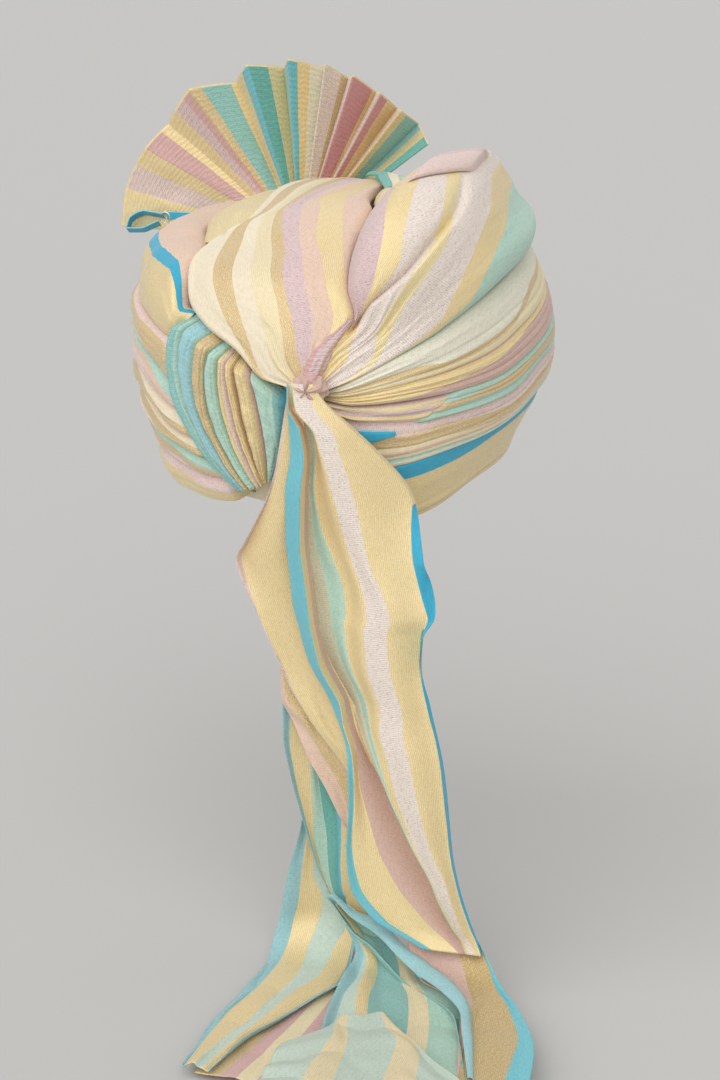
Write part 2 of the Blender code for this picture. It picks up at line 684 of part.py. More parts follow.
def main():
    clear_scene()
    builder = Builder()
    make_inner_wraps(builder)
    make_crown(builder)
    make_right_wraps(builder)
    make_left_wraps(builder)
    make_left_bundle(builder)
    make_knot(builder)
    make_strip(builder)
    make_fan(builder)
    make_fan_trims(builder)
    make_tail(builder)
    make_pin(builder)


main()
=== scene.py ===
"""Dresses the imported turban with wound, pleated and hanging cloth, and sets up its studio.

The wearer looks along -Y: the knot and the tail are at the back, +Y, and the fan stands over the front left.
A place on the body is a turn (degrees from the back, towards the wearer's right) and a rise (degrees above
the widest line). Every sheet has two UV maps: bands (shares along and across it) and weave (metres).
"""

import math

import bpy
import numpy as np
from mathutils import Matrix, Vector


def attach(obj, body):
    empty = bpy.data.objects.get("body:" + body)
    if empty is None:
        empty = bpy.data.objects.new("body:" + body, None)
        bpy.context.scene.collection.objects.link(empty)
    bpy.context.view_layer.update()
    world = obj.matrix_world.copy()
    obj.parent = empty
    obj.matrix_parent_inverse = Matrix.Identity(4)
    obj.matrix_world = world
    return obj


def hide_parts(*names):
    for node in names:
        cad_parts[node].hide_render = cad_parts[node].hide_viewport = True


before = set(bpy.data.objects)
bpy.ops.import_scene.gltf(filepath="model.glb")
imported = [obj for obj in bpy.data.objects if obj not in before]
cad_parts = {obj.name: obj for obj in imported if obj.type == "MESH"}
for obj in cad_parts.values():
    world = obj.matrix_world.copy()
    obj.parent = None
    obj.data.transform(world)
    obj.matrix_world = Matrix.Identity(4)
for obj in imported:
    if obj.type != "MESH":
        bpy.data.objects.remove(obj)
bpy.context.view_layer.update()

bl_info = {
    "name": "Tied turban",
    "version": (1, 0, 0),
    "blender": (4, 5, 0),
    "location": "View3D > Sidebar > Turban",
    "description": "Builds a wound turban with its fan, knot and tail, and its studio",
    "category": "Add Mesh",
}

# Places on the body, as the frame has them
LAYER_DEPTH = 0.010
RIM_ANGLE = -50.0
JOIN_TURN = 180.0
JOIN_SLANT = 0.25

# Gap under the layers, and how far the folded cloth stands over the inner turns
LAYER_GAP = 0.0016
FOLD_DEPTH = 0.0105

# The hollow's lining: how square it is, the height and number of its ridges, its stripes and its length
HOLLOW_FULLNESS = 0.62
LINING_RIDGE = 0.0012
LINING_WAVES = 17
LINING_STRIPES = 3.0
LINING_LENGTH = 0.2

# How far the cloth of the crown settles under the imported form, and the rises where that starts and is full
CROWN_SINK = 0.0115
SINK_START = 32.0
SINK_END = 56.0
# How far the cloth draws in towards the rim at the wearer's right
RIM_DRAW = 0.013

# Edges of the wraps. Columns: turn, rise
SEAM_RIGHT = ((8, 0), (11, 1), (27, 11), (39, 18), (57, 28), (80, 35), (112, 39), (140, 42), (180, 46))
EDGE_AB = ((8, -1), (11, -1), (37, 4), (46, 6), (58, 9), (75, 15), (100, 20), (140, 24), (180, 28))
EDGE_BC = ((8, -3), (20, -4), (37, -3), (49, -2), (59, -1), (76, 4), (100, 9), (140, 12), (180, 14))
EDGE_CD = ((3, -4), (12, -6), (20, -9), (34, -10), (40, -9), (66, -6), (84, 0), (140, 2), (180, 3))
EDGE_DE = ((-8, -27), (27, -25), (45, -22), (60, -20), (71, -17), (82, -12), (100, -9), (180, -9))
RIM_RIGHT = ((-8, -44), (20, -48), (36, RIM_ANGLE), (180, RIM_ANGLE))
ROLL_TOP = ((-180, 46), (-120, 48), (-80, 49), (-56, 48), (-44, 44), (-38, 34), (-34, 22))
EDGE_L0 = ((-180, 28), (-135, 25), (-90, 20), (-56, 13), (-44, 11), (-34, 9))
EDGE_L1 = ((-180, 14), (-135, 13), (-90, 10), (-60, 4), (-46, 0), (-34, -6))
EDGE_L2 = ((-180, 3), (-135, 2), (-90, -1), (-53, -8), (-42, -11), (-31, -14))
EDGE_L3 = ((-180, -8), (-135, -8), (-90, -11), (-50, -17), (-39, -19), (-28, -21))
EDGE_L4 = ((-180, -18), (-90, -20), (-50, -24), (-36, -25), (-24, -27))
EDGE_L5 = ((-180, -30), (-90, -31), (-48, -33), (-32, -33), (-18, -33))
RIM_LEFT = ((-180, RIM_ANGLE), (-90, RIM_ANGLE), (-40, -48), (-25, -46), (-13, -42))

# Lines between the folds of the left bundle. Columns: top turn, top rise, middle turn, foot turn, foot rise
BUNDLE_LINES = (
    (-31.5, 20.5, -33.5, -13.0, -35.0),
    (-27.5, 21.5, -28.5, -12.0, -34.2),
    (-22.0, 18.0, -24.3, -11.2, -33.4),
    (-18.3, 15.0, -20.3, -10.0, -32.6),
    (-15.8, 13.0, -16.0, -7.5, -31.6),
    (-14.5, 12.0, -12.6, -6.5, -31.0),
    (-12.8, 10.6, -10.2, -5.5, -30.2),
    (-9.8, 8.2, -5.5, -4.5, -29.2),
    (1.5, -2.0, 1.0, -3.0, -28.0),
)

# Sections of the crown, from the knot over the top to the front. Columns: left edge, left side of the
# parting, right side of the parting, right seam. A place is a turn and a rise; the seam's rise is the wrap's
CROWN_SECTIONS = (
    ((5, 1), (8, 2), (8, 2), 9),
    ((-4, 3), (13, 16), (13, 16), 18),
    ((-13, 12), (19, 25), (19, 25), 30),
    ((-24, 18), (18, 36), (18, 36), 43),
    ((-32, 25), (20, 49), (20, 49), 60),
    ((-38, 36), (27, 65), (28, 63), 80),
    ((-42, 48), (45, 79), (48, 73), 100),
    ((-39, 62), (100, 86), (90, 73), 120),
    ((-60, 74), (150, 76), (125, 66), 140),
    ((-140, 71), (166, 60), (150, 57), 156),
    ((-185, 50), (171, 49), (169, 48), 169),
)
FAN_BASE_EDGE = ((-46, 47.5), (-56, 51), (-90, 52), (-135, 50), (-186, 49))
TUCK_EDGES = (((93, 79), (131, 77), (157, 68), (172, 62)), ((82, 83), (131, 84), (169, 76), (183, 68)))

# Folds of the fan. Columns: direction in degrees from the wearer's right, depth as a share of the pleat,
# length as a share of the radius
FAN_FOLDS = (
    (178, 0.6, 1.04), (166, 0.2, 1.05), (151, 0.5, 1.01), (141, 0.0, 0.98), (126, 1.0, 1.02),
    (115, -1.0, 0.93), (106, 1.0, 1.00), (97, -1.0, 0.94), (92, 1.0, 1.00), (83, -1.0, 0.94),
    (80, 1.0, 0.99), (74, -1.0, 0.92), (70, 1.0, 0.98), (63, -1.0, 0.91), (60, 1.0, 0.96),
    (54, -1.0, 0.90), (51, 1.0, 0.95), (45, -1.0, 0.92), (37, 0.6, 0.93),
)
# Where the fan's cloth starts from its foot. Columns: direction, distance
FAN_FEET = ((30, 0.072), (60, 0.038), (100, 0.024), (140, 0.028), (160, 0.048), (180, 0.070))
# Directions and lengths of the ribbon, its loop and the pin's ring, as in the folds
RIBBON_POINTS = ((172, 0.78), (169, 0.57), (159, 0.36))
LOOP_POINTS = ((172, 0.79), (172, 0.89), (175.5, 0.98), (178.5, 0.99), (178.2, 0.91), (175, 0.81))
RIBBON_WALL = 0.0008
PIN_PLACE = (173, 0.79)
PIN_RADIUS = 0.0036
PIN_WIRE = 0.0006
PIN_DEPTH = 0.2

# Stripe edges across a piece. First column: share along it; the others: shares across it, in rising order
LEFT_LOBE_STRIPES = (
    (0.00, 0.01, 0.03, 0.38, 0.62, 0.92, 0.98),
    (0.10, 0.02, 0.06, 0.41, 0.56, 0.88, 0.98),
    (0.15, 0.05, 0.10, 0.43, 0.54, 0.86, 0.98),
    (0.20, 0.09, 0.17, 0.46, 0.55, 0.85, 0.98),
    (0.30, 0.20, 0.31, 0.57, 0.63, 0.87, 0.98),
    (0.40, 0.24, 0.36, 0.58, 0.64, 0.84, 0.95),
    (0.50, 0.24, 0.36, 0.55, 0.61, 0.78, 0.90),
    (0.60, 0.22, 0.34, 0.53, 0.57, 0.77, 0.87),
    (0.70, 0.18, 0.32, 0.50, 0.55, 0.75, 0.88),
    (1.00, 0.10, 0.25, 0.42, 0.50, 0.70, 0.85),
)
RIGHT_LOBE_STRIPES = (
    (0.00, 0.00, 0.50, 0.95, 0.97, 0.98, 0.99),
    (0.10, 0.00, 0.55, 0.90, 0.96, 0.98, 0.99),
    (0.15, 0.01, 0.24, 0.79, 0.88, 0.98, 0.99),
    (0.21, 0.12, 0.13, 0.46, 0.65, 0.97, 0.99),
    (0.25, 0.15, 0.18, 0.41, 0.54, 0.94, 0.98),
    (0.30, 0.20, 0.28, 0.43, 0.52, 0.90, 0.97),
    (0.35, 0.18, 0.31, 0.43, 0.51, 0.78, 0.94),
    (0.40, 0.15, 0.25, 0.43, 0.49, 0.69, 0.84),
    (0.45, 0.11, 0.21, 0.37, 0.43, 0.62, 0.76),
    (0.50, 0.08, 0.17, 0.30, 0.36, 0.56, 0.70),
    (0.60, 0.04, 0.11, 0.20, 0.27, 0.44, 0.60),
    (1.00, 0.04, 0.10, 0.20, 0.27, 0.44, 0.60),
)

# The knot: turn, rise and how far it stands out; width, thickness and height; metres of weave to a share
KNOT_PLACE = (7.8, 2.0, 0.0045)
KNOT_SIZE = (0.023, 0.016, 0.019)
KNOT_WEAVE = 0.012
# Line of the gathered strip, and of the groove of the pinch as shares along and across the right lobe
STRIP_LINE = ((7.5, 3), (11, 14), (18.5, 24.5))
PINCH_GROOVE = (
    (0.15, 0.10), (0.20, 0.11), (0.25, 0.19), (0.30, 0.31), (0.35, 0.39), (0.45, 0.42), (0.55, 0.32),
)
# Stripe edges of the four wraps, and of the seven turns at the wearer's left
WRAP_STRIPES = (
    ((0, 0.42, 0.50), (0.09, 0.34, 0.46), (0.15, 0.20, 0.38), (0.20, 0.14, 0.24), (0.33, 0.18, 0.26),
     (0.43, 0.40, 0.54),
     (1, 0.4, 0.55)),
    ((0, 0.05, 0.90), (0.10, 0.10, 0.92), (0.17, 0.30, 0.90), (0.24, 0.52, 0.88), (0.31, 0.66, 0.88),
     (0.40, 0.80, 0.96),
     (1, 0.75, 0.93)),
    ((0, 0.25, 0.52), (0.06, 0.30, 0.55), (0.17, 0.42, 0.70), (0.31, 0.28, 0.62), (1, 0.3, 0.6)),
    ((0, 0.45, 0.62), (0.22, 0.48, 0.74), (0.30, 0.43, 0.69), (0.36, 0.38, 0.62), (1, 0.4, 0.6)),
)
ROLL_STRIPES = (
    ((0, 0.30, 0.40), (0.60, 0.38, 0.50), (0.66, 0.42, 0.54), (0.78, 0.52, 0.64), (0.90, 0.62, 0.74),
     (0.95, 0.75, 0.87),
     (1, 0.88, 0.97)),
    ((0, 0.3, 0.7), (0.84, 0.40, 0.80), (0.90, 0.30, 0.84), (0.96, 0.12, 0.84), (1, 0.03, 0.82)),
    ((0, 0.4, 0.8), (0.84, 0.55, 0.75), (0.90, 0.40, 0.80), (0.96, 0.20, 0.60), (1, 0.05, 0.50)),
    ((0, 0.3, 0.6), (0.84, 0.40, 0.80), (0.90, 0.30, 0.70), (0.96, 0.15, 0.55), (1, 0.05, 0.45)),
    ((0, 0.4, 0.7), (0.80, 0.50, 0.85), (0.88, 0.35, 0.75), (0.96, 0.15, 0.60), (1, 0.05, 0.50)),
    ((0, 0.3, 0.6), (0.80, 0.35, 0.70), (0.88, 0.30, 0.65), (0.96, 0.10, 0.50), (1, 0.05, 0.40)),
    ((0, 0.3, 0.6), (0.80, 0.45, 0.80), (0.88, 0.35, 0.70), (0.96, 0.20, 0.55), (1, 0.10, 0.45)),
)

# The bend from the hanging stretch to the floor, the gap under the lowest layer, how many layers lie behind
# the main panel, and the room for each on the floor, against the body and hanging free
FLOOR_BEND = 0.030
FLOOR_GAP = 0.0009
DEEPEST_LAYER = 3
FLOOR_LAYER = 0.004
BODY_LAYER = 0.0034
HANGING_LAYER = 0.0075

# Lines of the hanging layers, down from the knot. First column: distance as a share of the drop; the others:
# places across, from the left edge (0) to the right edge (1) of the main panel, and for the rest shares of
# the tail's width from the middle (left is +X)
TAIL_MAIN_EDGES = (
    (0.0, -0.06, -0.18), (0.03, -0.06, -0.24), (0.06, -0.07, -0.33), (0.11, -0.08, -0.47),
    (0.18, -0.055, -0.62),
    (0.25, -0.055, -0.69), (0.32, -0.075, -0.745), (0.37, -0.09, -0.775), (0.40, -0.11, -0.73),
    (0.46, -0.16, -0.72), (0.53, -0.275, -0.76), (0.62, -0.36, -0.82), (0.70, -0.37, -0.85),
    (0.78, -0.36, -0.88),
    (0.84, -0.38, -0.92), (0.90, -0.50, -0.98), (0.95, -0.75, -1.04),
)
TAIL_MAIN_LINES = (
    (0.0, 0.04, 0.04, 0.05, 0.05, 0.09, 0.15, 0.24, 0.69, 1.0),
    (0.037, 0.04, 0.04, 0.05, 0.05, 0.09, 0.15, 0.24, 0.69, 1.0),
    (0.073, 0.19, 0.19, 0.20, 0.20, 0.26, 0.32, 0.43, 0.72, 1.0),
    (0.108, 0.18, 0.18, 0.19, 0.19, 0.22, 0.26, 0.40, 0.62, 1.0),
    (0.18, 0.15, 0.15, 0.16, 0.16, 0.18, 0.22, 0.42, 0.59, 0.995),
    (0.23, 0.13, 0.13, 0.14, 0.14, 0.17, 0.24, 0.44, 0.60, 0.94),
    (0.285, 0.12, 0.12, 0.13, 0.13, 0.19, 0.31, 0.48, 0.62, 0.91),
    (0.34, 0.12, 0.12, 0.13, 0.13, 0.23, 0.36, 0.53, 0.69, 0.925),
    (0.41, 0.12, 0.12, 0.13, 0.13, 0.24, 0.35, 0.54, 0.73, 0.985),
    (0.515, 0.12, 0.13, 0.14, 0.15, 0.26, 0.37, 0.53, 0.76, 0.98),
    (0.575, 0.05, 0.07, 0.12, 0.17, 0.26, 0.33, 0.43, 0.70, 0.99),
    (0.66, 0.05, 0.08, 0.32, 0.39, 0.40, 0.42, 0.49, 0.74, 0.99),
    (0.75, 0.04, 0.22, 0.55, 0.61, 0.62, 0.63, 0.65, 0.83, 0.99),
    (0.83, 0.07, 0.39, 0.73, 0.78, 0.79, 0.80, 0.81, 0.93, 0.99),
    (0.92, 0.13, 0.57, 0.79, 0.81, 0.82, 0.83, 0.85, 0.91, 0.99),
    (0.95, 0.16, 0.61, 0.72, 0.74, 0.75, 0.76, 0.80, 0.90, 0.99),
)
# Distance at which the main panel's bright edge comes into sight, and the stripe place just short of it
EDGE_START = 0.20
EDGE_SHARE = 0.895
# How far the main panel's lines stand out, in steps of this depth
FOLD_STEP = 0.0018
TAIL_MAIN_FOLDS = (
    (0.00, 0, 0, 0, 0, 0, 0, 0, 0, 0, 0, 0),
    (0.08, 1, 3, 0, -3, -5, -6, -5, 4, 4, 2, -1),
    (0.18, 2, 5, 0, -4, -6, -7, -4, 5, 6, 2, 0),
    (0.28, 2, 5, -1, -5, -7, -7, -3, 3, 6, 3, 5),
    (0.34, 2, 5, -1, -4, -6, -5, -2, 4, 6, 1, -4),
    (0.41, 1, 5, 0, -4, -5, -4, -1, 5, 5, 0, 3),
    (0.52, 1, 4, 0, -4, -5, -3, 1, 4, 5, 0, -2),
    (0.66, 4, 3, 0, -5, 4, 5, 5, 5, 7, 2, -2),
    (0.83, 5, 4, 2, -4, 4, 5, 5, 5, 6, 2, 0),
    (0.95, 3, 3, 2, 0, 2, 2, 2, 2, 2, 1, 0),
)
TAIL_GOLD_LINES = (
    (0.00, -0.07, -0.075, -0.08, -0.12), (0.03, -0.05, -0.055, -0.065, -0.12),
    (0.09, -0.02, -0.03, -0.06, -0.14),
    (0.145, 0.01, 0.00, -0.05, -0.14), (0.19, 0.05, 0.04, -0.03, -0.13), (0.235, 0.115, 0.105, 0.01, -0.12),
    (0.275, 0.18, 0.17, 0.04, -0.12), (0.30, 0.22, 0.20, 0.05, -0.12),
    (0.33, 0.20, 0.18, 0.02, -0.14), (0.40, 0.11, 0.10, -0.02, -0.18), (0.46, 0.03, 0.02, -0.10, -0.24),
    (0.52, -0.05, -0.06, -0.18, -0.34), (0.57, -0.14, -0.15, -0.25, -0.42),
    (0.63, -0.28, -0.29, -0.36, -0.46),
    (0.67, -0.37, -0.38, -0.42, -0.48),
)
TAIL_SECOND_LINES = (
    (0.45, 0.02, 0.01, -0.05, -0.16), (0.54, 0.02, -0.02, -0.12, -0.25), (0.58, -0.04, -0.105, -0.18, -0.30),
    (0.645, -0.13, -0.21, -0.28, -0.40), (0.69, -0.21, -0.285, -0.34, -0.44),
    (0.73, -0.27, -0.33, -0.38, -0.44),
    (0.77, -0.33, -0.36, -0.40, -0.44),
)
TAIL_TEAL_LINES = (
    (0.20, -0.04, -0.05, -0.10, -0.14, -0.20, -0.24, -0.40),
    (0.45, 0.03, 0.02, -0.06, -0.10, -0.18, -0.24, -0.42),
    (0.54, 0.02, -0.02, -0.10, -0.13, -0.20, -0.26, -0.44),
    (0.62, 0.01, -0.01, -0.11, -0.14, -0.22, -0.26, -0.44),
    (0.67, -0.02, -0.03, -0.12, -0.15, -0.22, -0.26, -0.42),
    (0.75, -0.08, -0.085, -0.13, -0.18, -0.25, -0.28, -0.38),
    (0.79, -0.11, -0.115, -0.13, -0.20, -0.26, -0.28, -0.36),
    (0.84, -0.15, -0.155, -0.16, -0.21, -0.255, -0.275, -0.38),
    (0.88, -0.20, -0.205, -0.21, -0.23, -0.26, -0.28, -0.42),
    (0.93, -0.27, -0.275, -0.28, -0.30, -0.33, -0.36, -0.50),
)
TAIL_SWIRL_LINES = (
    (0.90, -0.25, -0.26, -0.27, -0.28, -0.29, -0.31, -0.34),
    (0.95, -0.32, -0.35, -0.37, -0.39, -0.42, -0.46, -0.55),
    (1.00, -0.385, -0.43, -0.45, -0.50, -0.60, -0.66, -0.76),
    (1.05, -0.38, -0.43, -0.47, -0.53, -0.66, -0.74, -0.90),
    (1.10, -0.375, -0.42, -0.48, -0.54, -0.73, -0.82, -1.00),
    (1.20, -0.40, -0.44, -0.54, -0.60, -0.80, -0.90, -1.11),
    (1.30, -0.44, -0.48, -0.58, -0.64, -0.83, -0.94, -1.175),
    (1.42, -0.47, -0.51, -0.60, -0.67, -0.86, -0.97, -1.20),
)
TAIL_SHEER_LINES = (
    (0.68, -0.10, -0.12, -0.16, -0.22, -0.24, -0.26), (0.78, -0.06, -0.09, -0.14, -0.22, -0.24, -0.26),
    (0.87, 0.01, -0.055, -0.11, -0.25, -0.28, -0.30),
    (0.917, 0.035, -0.04, -0.16, -0.30, -0.34, -0.36), (0.965, 0.06, -0.01, -0.135, -0.29, -0.33, -0.35),
    (1.01, 0.075, 0.00, -0.11, -0.245, -0.335, -0.35), (1.085, 0.07, 0.02, -0.12, -0.235, -0.34, -0.365),
    (1.16, 0.095, 0.05, -0.075, -0.155, -0.255, -0.28), (1.245, 0.135, 0.105, -0.025, -0.09, -0.15, -0.17),
    (1.31, 0.145, 0.115, 0.025, -0.025, -0.06, -0.08), (1.42, 0.145, 0.13, 0.08, 0.045, 0.02, 0.00),
)
TAIL_UNDER_LINES = (
    (1.00, -0.14, -0.20, -0.24, -0.30, -0.36, -0.42), (1.10, -0.14, -0.22, -0.28, -0.34, -0.40, -0.46),
    (1.20, -0.08, -0.18, -0.24, -0.32, -0.40, -0.48), (1.42, 0.08, -0.04, -0.12, -0.22, -0.32, -0.48),
)
TAIL_FRONT_LINES = (
    (1.16, -0.46, -0.50, -0.54, -0.66, -0.70, -0.78), (1.19, -0.42, -0.48, -0.52, -0.70, -0.76, -0.86),
    (1.22, -0.37, -0.48, -0.54, -0.75, -0.83, -0.93),
    (1.255, -0.31, -0.50, -0.57, -0.81, -0.91, -1.00), (1.31, -0.29, -0.48, -0.59, -0.82, -0.95, -1.12),
    (1.42, -0.29, -0.465, -0.61, -0.83, -0.99, -1.26),
)
# Upper edge of the front sheet on the floor. Columns: share across it, distance
TAIL_FRONT_TOP = (
    (0, 1.30), (0.10, 1.25), (0.25, 1.19), (0.45, 1.185), (0.60, 1.165), (0.70, 1.175), (0.85, 1.27),
    (1, 1.345),
)
# Middle line of the rolled edge over the floor. Columns: share along it, distance, place across
TAIL_ROLL = (
    (0.00, 0.885, -0.24), (0.10, 0.925, -0.36), (0.22, 0.95, -0.485), (0.34, 0.985, -0.61),
    (0.48, 1.03, -0.77), (0.62, 1.08, -0.93), (0.74, 1.13, -1.03), (0.85, 1.20, -1.09),
    (1.00, 1.345, -1.21),
)
# Radius of the rolled edge, how high it lies, and the step along it that gives its direction
ROLL_RADIUS = 0.0088
ROLL_LIFT = 0.006
ROLL_STEP = 0.01
TAIL_FOOT_LINES = (
    (0.88, -0.66, -0.76, -0.80, -0.88, -0.91), (0.945, -0.66, -0.90, -0.96, -1.03, -1.04),
    (1.02, -0.76, -1.00, -1.05, -1.14, -1.18),
    (1.08, -1.00, -1.06, -1.10, -1.24, -1.29), (1.18, -1.06, -1.09, -1.12, -1.34, -1.42),
    (1.28, -1.12, -1.13, -1.14, -1.35, -1.46), (1.42, -1.17, -1.18, -1.19, -1.36, -1.48),
)


# The floor's size and its gap under the cloth, and the light of the room
STAGE_SIZE = 24.0
STAGE_GAP = 0.0025
ROOM_COLOUR = (0.98, 0.98, 0.97, 1)
ROOM_LIGHT = 0.40


def tint(red, green, blue):
    """A screen colour from 0 to 255 as the linear colour that shaders take."""
    return tuple(((value / 255 + 0.055) / 1.055) ** 2.4 for value in (red, green, blue))


# Spacing of the ribs, the wefts and the crimps of gathered cloth, and the depth of the weave
RIB_PITCH = 0.0012
WEFT_PITCH = 0.0013
CRIMP_PITCH = 0.0032
THREAD_DEPTH = 0.0004
LEAST_ALPHA = 0.2

# Colours of the threads: random tone, painted glints on the metal, painted shade in the weave's troughs and
# holes
CLOUD_SHADE = (0.80, 0.74, 0.66, 1)
SLUB_SHADE = (0.62, 0.52, 0.42, 1)
PAINTED_GLINT_COLOUR = (1.0, 0.90, 0.62, 1)
RIB_SHADE = (0.55, 0.42, 0.22, 1)
WEFT_SHADE = (0.55, 0.46, 0.44, 1)
HOLE_SHADE = (0.42, 0.36, 0.33, 1)
CRIMP_SHADE = (0.45, 0.40, 0.38, 1)

# Kinds of stripe. Columns: colour, metallic thread, open weave
CLOTHS = {
    "gold": (tint(246, 222, 164), 1.0, 0.0),
    "brown": (tint(226, 197, 144), 1.0, 0.0),
    "bright": (tint(248, 229, 172), 1.0, 0.0),
    "cream": (tint(243, 231, 205), 0.25, 0.15),
    "butter": (tint(242, 227, 186), 0.6, 0.05),
    "white": (tint(244, 232, 222), 0.0, 1.0),
    "peach": (tint(238, 208, 188), 0.2, 0.5),
    "pink": (tint(239, 216, 209), 0.0, 0.8),
    "lilac": (tint(230, 205, 205), 0.0, 1.0),
    "rose": (tint(219, 178, 175), 0.2, 0.4),
    "wine": (tint(212, 152, 156), 0.3, 0.2),
    "mauve": (tint(218, 184, 172), 0.3, 0.5),
    "mint": (tint(188, 224, 208), 0.0, 0.6),
    "mist": (tint(210, 229, 216), 0.0, 0.4),
    "grey": (tint(238, 235, 216), 0.0, 0.5),
    # A darker gold for the floor panel: partly its golden brown, partly painted shade where it lies in shadow
    "bronze": (tint(196, 167, 108), 0.9, 0.1),
    "shade": (tint(214, 212, 186), 0.2, 0.8),
    "teal": (tint(154, 208, 202), 0.0, 0.8),
    "sea": (tint(118, 192, 182), 0.0, 0.8),
    "sky": (tint(166, 215, 222), 0.0, 0.6),
    "aqua": (tint(112, 196, 210), 0.1, 0.2),
    "blue": (tint(58, 174, 208), 0.0, 0.1),
}


class TurbanBody(bpy.types.PropertyGroup):
    half_width: bpy.props.FloatProperty(
        name="Half width", description="From the middle to the side of the body", default=0.137,
        unit="LENGTH",
    )
    half_length: bpy.props.FloatProperty(
        name="Half length", description="From the middle to the back of the body", default=0.148,
        unit="LENGTH",
    )
    crown_rise: bpy.props.FloatProperty(
        name="Crown rise", description="From the widest line to the top", default=0.104, unit="LENGTH",
    )
    rim_reach: bpy.props.FloatProperty(
        name="Rim reach", description="Depth of the form that the rim is cut from", default=0.118,
        unit="LENGTH",
    )
    hollow_rise: bpy.props.FloatProperty(
        name="Hollow rise", description="From the widest line up to the hollow's roof", default=0.070,
        unit="LENGTH",
    )
    head_half_width: bpy.props.FloatProperty(
        name="Hollow half width", description="Half the hollow's width at the rim", default=0.083,
        unit="LENGTH",
    )
    head_half_length: bpy.props.FloatProperty(
        name="Hollow half length", description="Half the hollow's length at the rim", default=0.101,
        unit="LENGTH",
    )
    tilt_back: bpy.props.FloatProperty(
        name="Tilt back", description="How far the body leans back", default=math.radians(3.0),
        subtype="ANGLE",
    )
    lean_right: bpy.props.FloatProperty(
        name="Lean right", description="How far the body leans to the wearer's right",
        default=math.radians(2.0), subtype="ANGLE",
    )
    lobe_swell: bpy.props.FloatProperty(
        name="Right lobe", description="How far the right lobe stands proud", default=0.034, unit="LENGTH",
    )
    cloth_wall: bpy.props.FloatProperty(
        name="Cloth", description="Thickness of the folded cloth", default=0.0009, unit="LENGTH",
    )


class TurbanFan(bpy.types.PropertyGroup):
    radius: bpy.props.FloatProperty(
        name="Radius", description="From the gathered foot to the edge", default=0.124, unit="LENGTH",
    )
    side: bpy.props.FloatProperty(
        name="Side", description="Place of the foot to the wearer's left", default=0.055, unit="LENGTH",
    )
    forward: bpy.props.FloatProperty(
        name="Forward", description="Place of the fan in front of the middle", default=0.085, unit="LENGTH",
    )
    height: bpy.props.FloatProperty(
        name="Height", description="Height of the foot over the widest line", default=0.044, unit="LENGTH",
    )
    pleat: bpy.props.FloatProperty(
        name="Pleat", description="Depth of a pleat each way at the edge", default=0.0125, unit="LENGTH",
    )
    wall: bpy.props.FloatProperty(
        name="Cloth", description="Thickness of the stiffened cloth", default=0.0009, unit="LENGTH",
    )


class TurbanTail(bpy.types.PropertyGroup):
    width: bpy.props.FloatProperty(
        name="Width", description="Width that the tail's shares refer to", default=0.127, unit="LENGTH",
    )
    drop: bpy.props.FloatProperty(
        name="Drop", description="From the knot to the floor", default=0.378, unit="LENGTH",
    )
    hang: bpy.props.FloatProperty(
        name="Hang", description="How far behind the middle it hangs", default=0.157, unit="LENGTH",
    )
    floor: bpy.props.FloatProperty(
        name="Floor", description="Depth of the floor under the widest line", default=0.386, unit="LENGTH",
    )
    wall: bpy.props.FloatProperty(
        name="Cloth", description="Thickness of the hanging cloth", default=0.0006, unit="LENGTH",
    )


class TurbanStudio(bpy.types.PropertyGroup):
    lens: bpy.props.FloatProperty(
        name="Lens", description="Focal length on a 36 mm frame", default=76.0, unit="CAMERA",
    )
    place: bpy.props.FloatVectorProperty(
        name="Camera", description="Where the camera stands", default=(-0.39125, 1.42204, 0.23644),
        subtype="TRANSLATION",
    )
    turn: bpy.props.FloatProperty(
        name="Turn", description="The camera's direction round the turban", default=math.radians(195.0),
        subtype="ANGLE",
    )
    pitch: bpy.props.FloatProperty(
        name="Pitch", description="How far down the camera looks", default=math.radians(17.0),
        subtype="ANGLE",
    )
    floor_colour: bpy.props.FloatVectorProperty(
        name="Floor", description="Colour of the floor", default=tint(196, 195, 193), subtype="COLOR",
    )


def smooth(rows, key, column=1):
    """Value of one column of a table at this key, on a smooth curve that never overshoots its rows."""
    keys = np.array([row[0] for row in rows], float)
    values = np.array([row[column] for row in rows], float)
    steps = np.diff(values) / np.diff(keys)
    slopes = np.zeros_like(values)
    same_way = steps[:-1] * steps[1:] > 0
    mean = 2 * steps[:-1] * steps[1:] / np.where(same_way, steps[:-1] + steps[1:], 1)
    slopes[1:-1] = np.where(same_way, mean, 0)
    slopes[0], slopes[-1] = steps[0], steps[-1]
    key = np.clip(key, keys[0], keys[-1])
    cell = np.clip(np.searchsorted(keys, key, side="right") - 1, 0, len(keys) - 2)
    span = keys[cell + 1] - keys[cell]
    share = (key - keys[cell]) / span
    start = (1 + 2 * share) * (1 - share) ** 2 * values[cell] + share * (1 - share) ** 2 * span * slopes[cell]
    end = share**2 * (3 - 2 * share) * values[cell + 1] + share**2 * (share - 1) * span * slopes[cell + 1]
    return start + end


def mix(first, second, share):
    """The value at a share of the way from the first to the second."""
    return first + (second - first) * share


def ease(low, high, value):
    """A soft step from 0 at low to 1 at high."""
    share = np.clip((value - low) / (high - low), 0, 1)
    return share * share * (3 - 2 * share)


def settle(x, y, z):
    """Turns points of the upright body to its worn tilt and moves the origin to the hollow's roof."""
    body = bpy.context.scene.turban_body
    tilt, lean = body.tilt_back, body.lean_right
    back = y * math.cos(tilt) + z * math.sin(tilt)
    up = z * math.cos(tilt) - y * math.sin(tilt) + x * math.sin(lean)
    return np.stack(np.broadcast_arrays(x * math.cos(lean), back, up - body.hollow_rise), axis=-1)


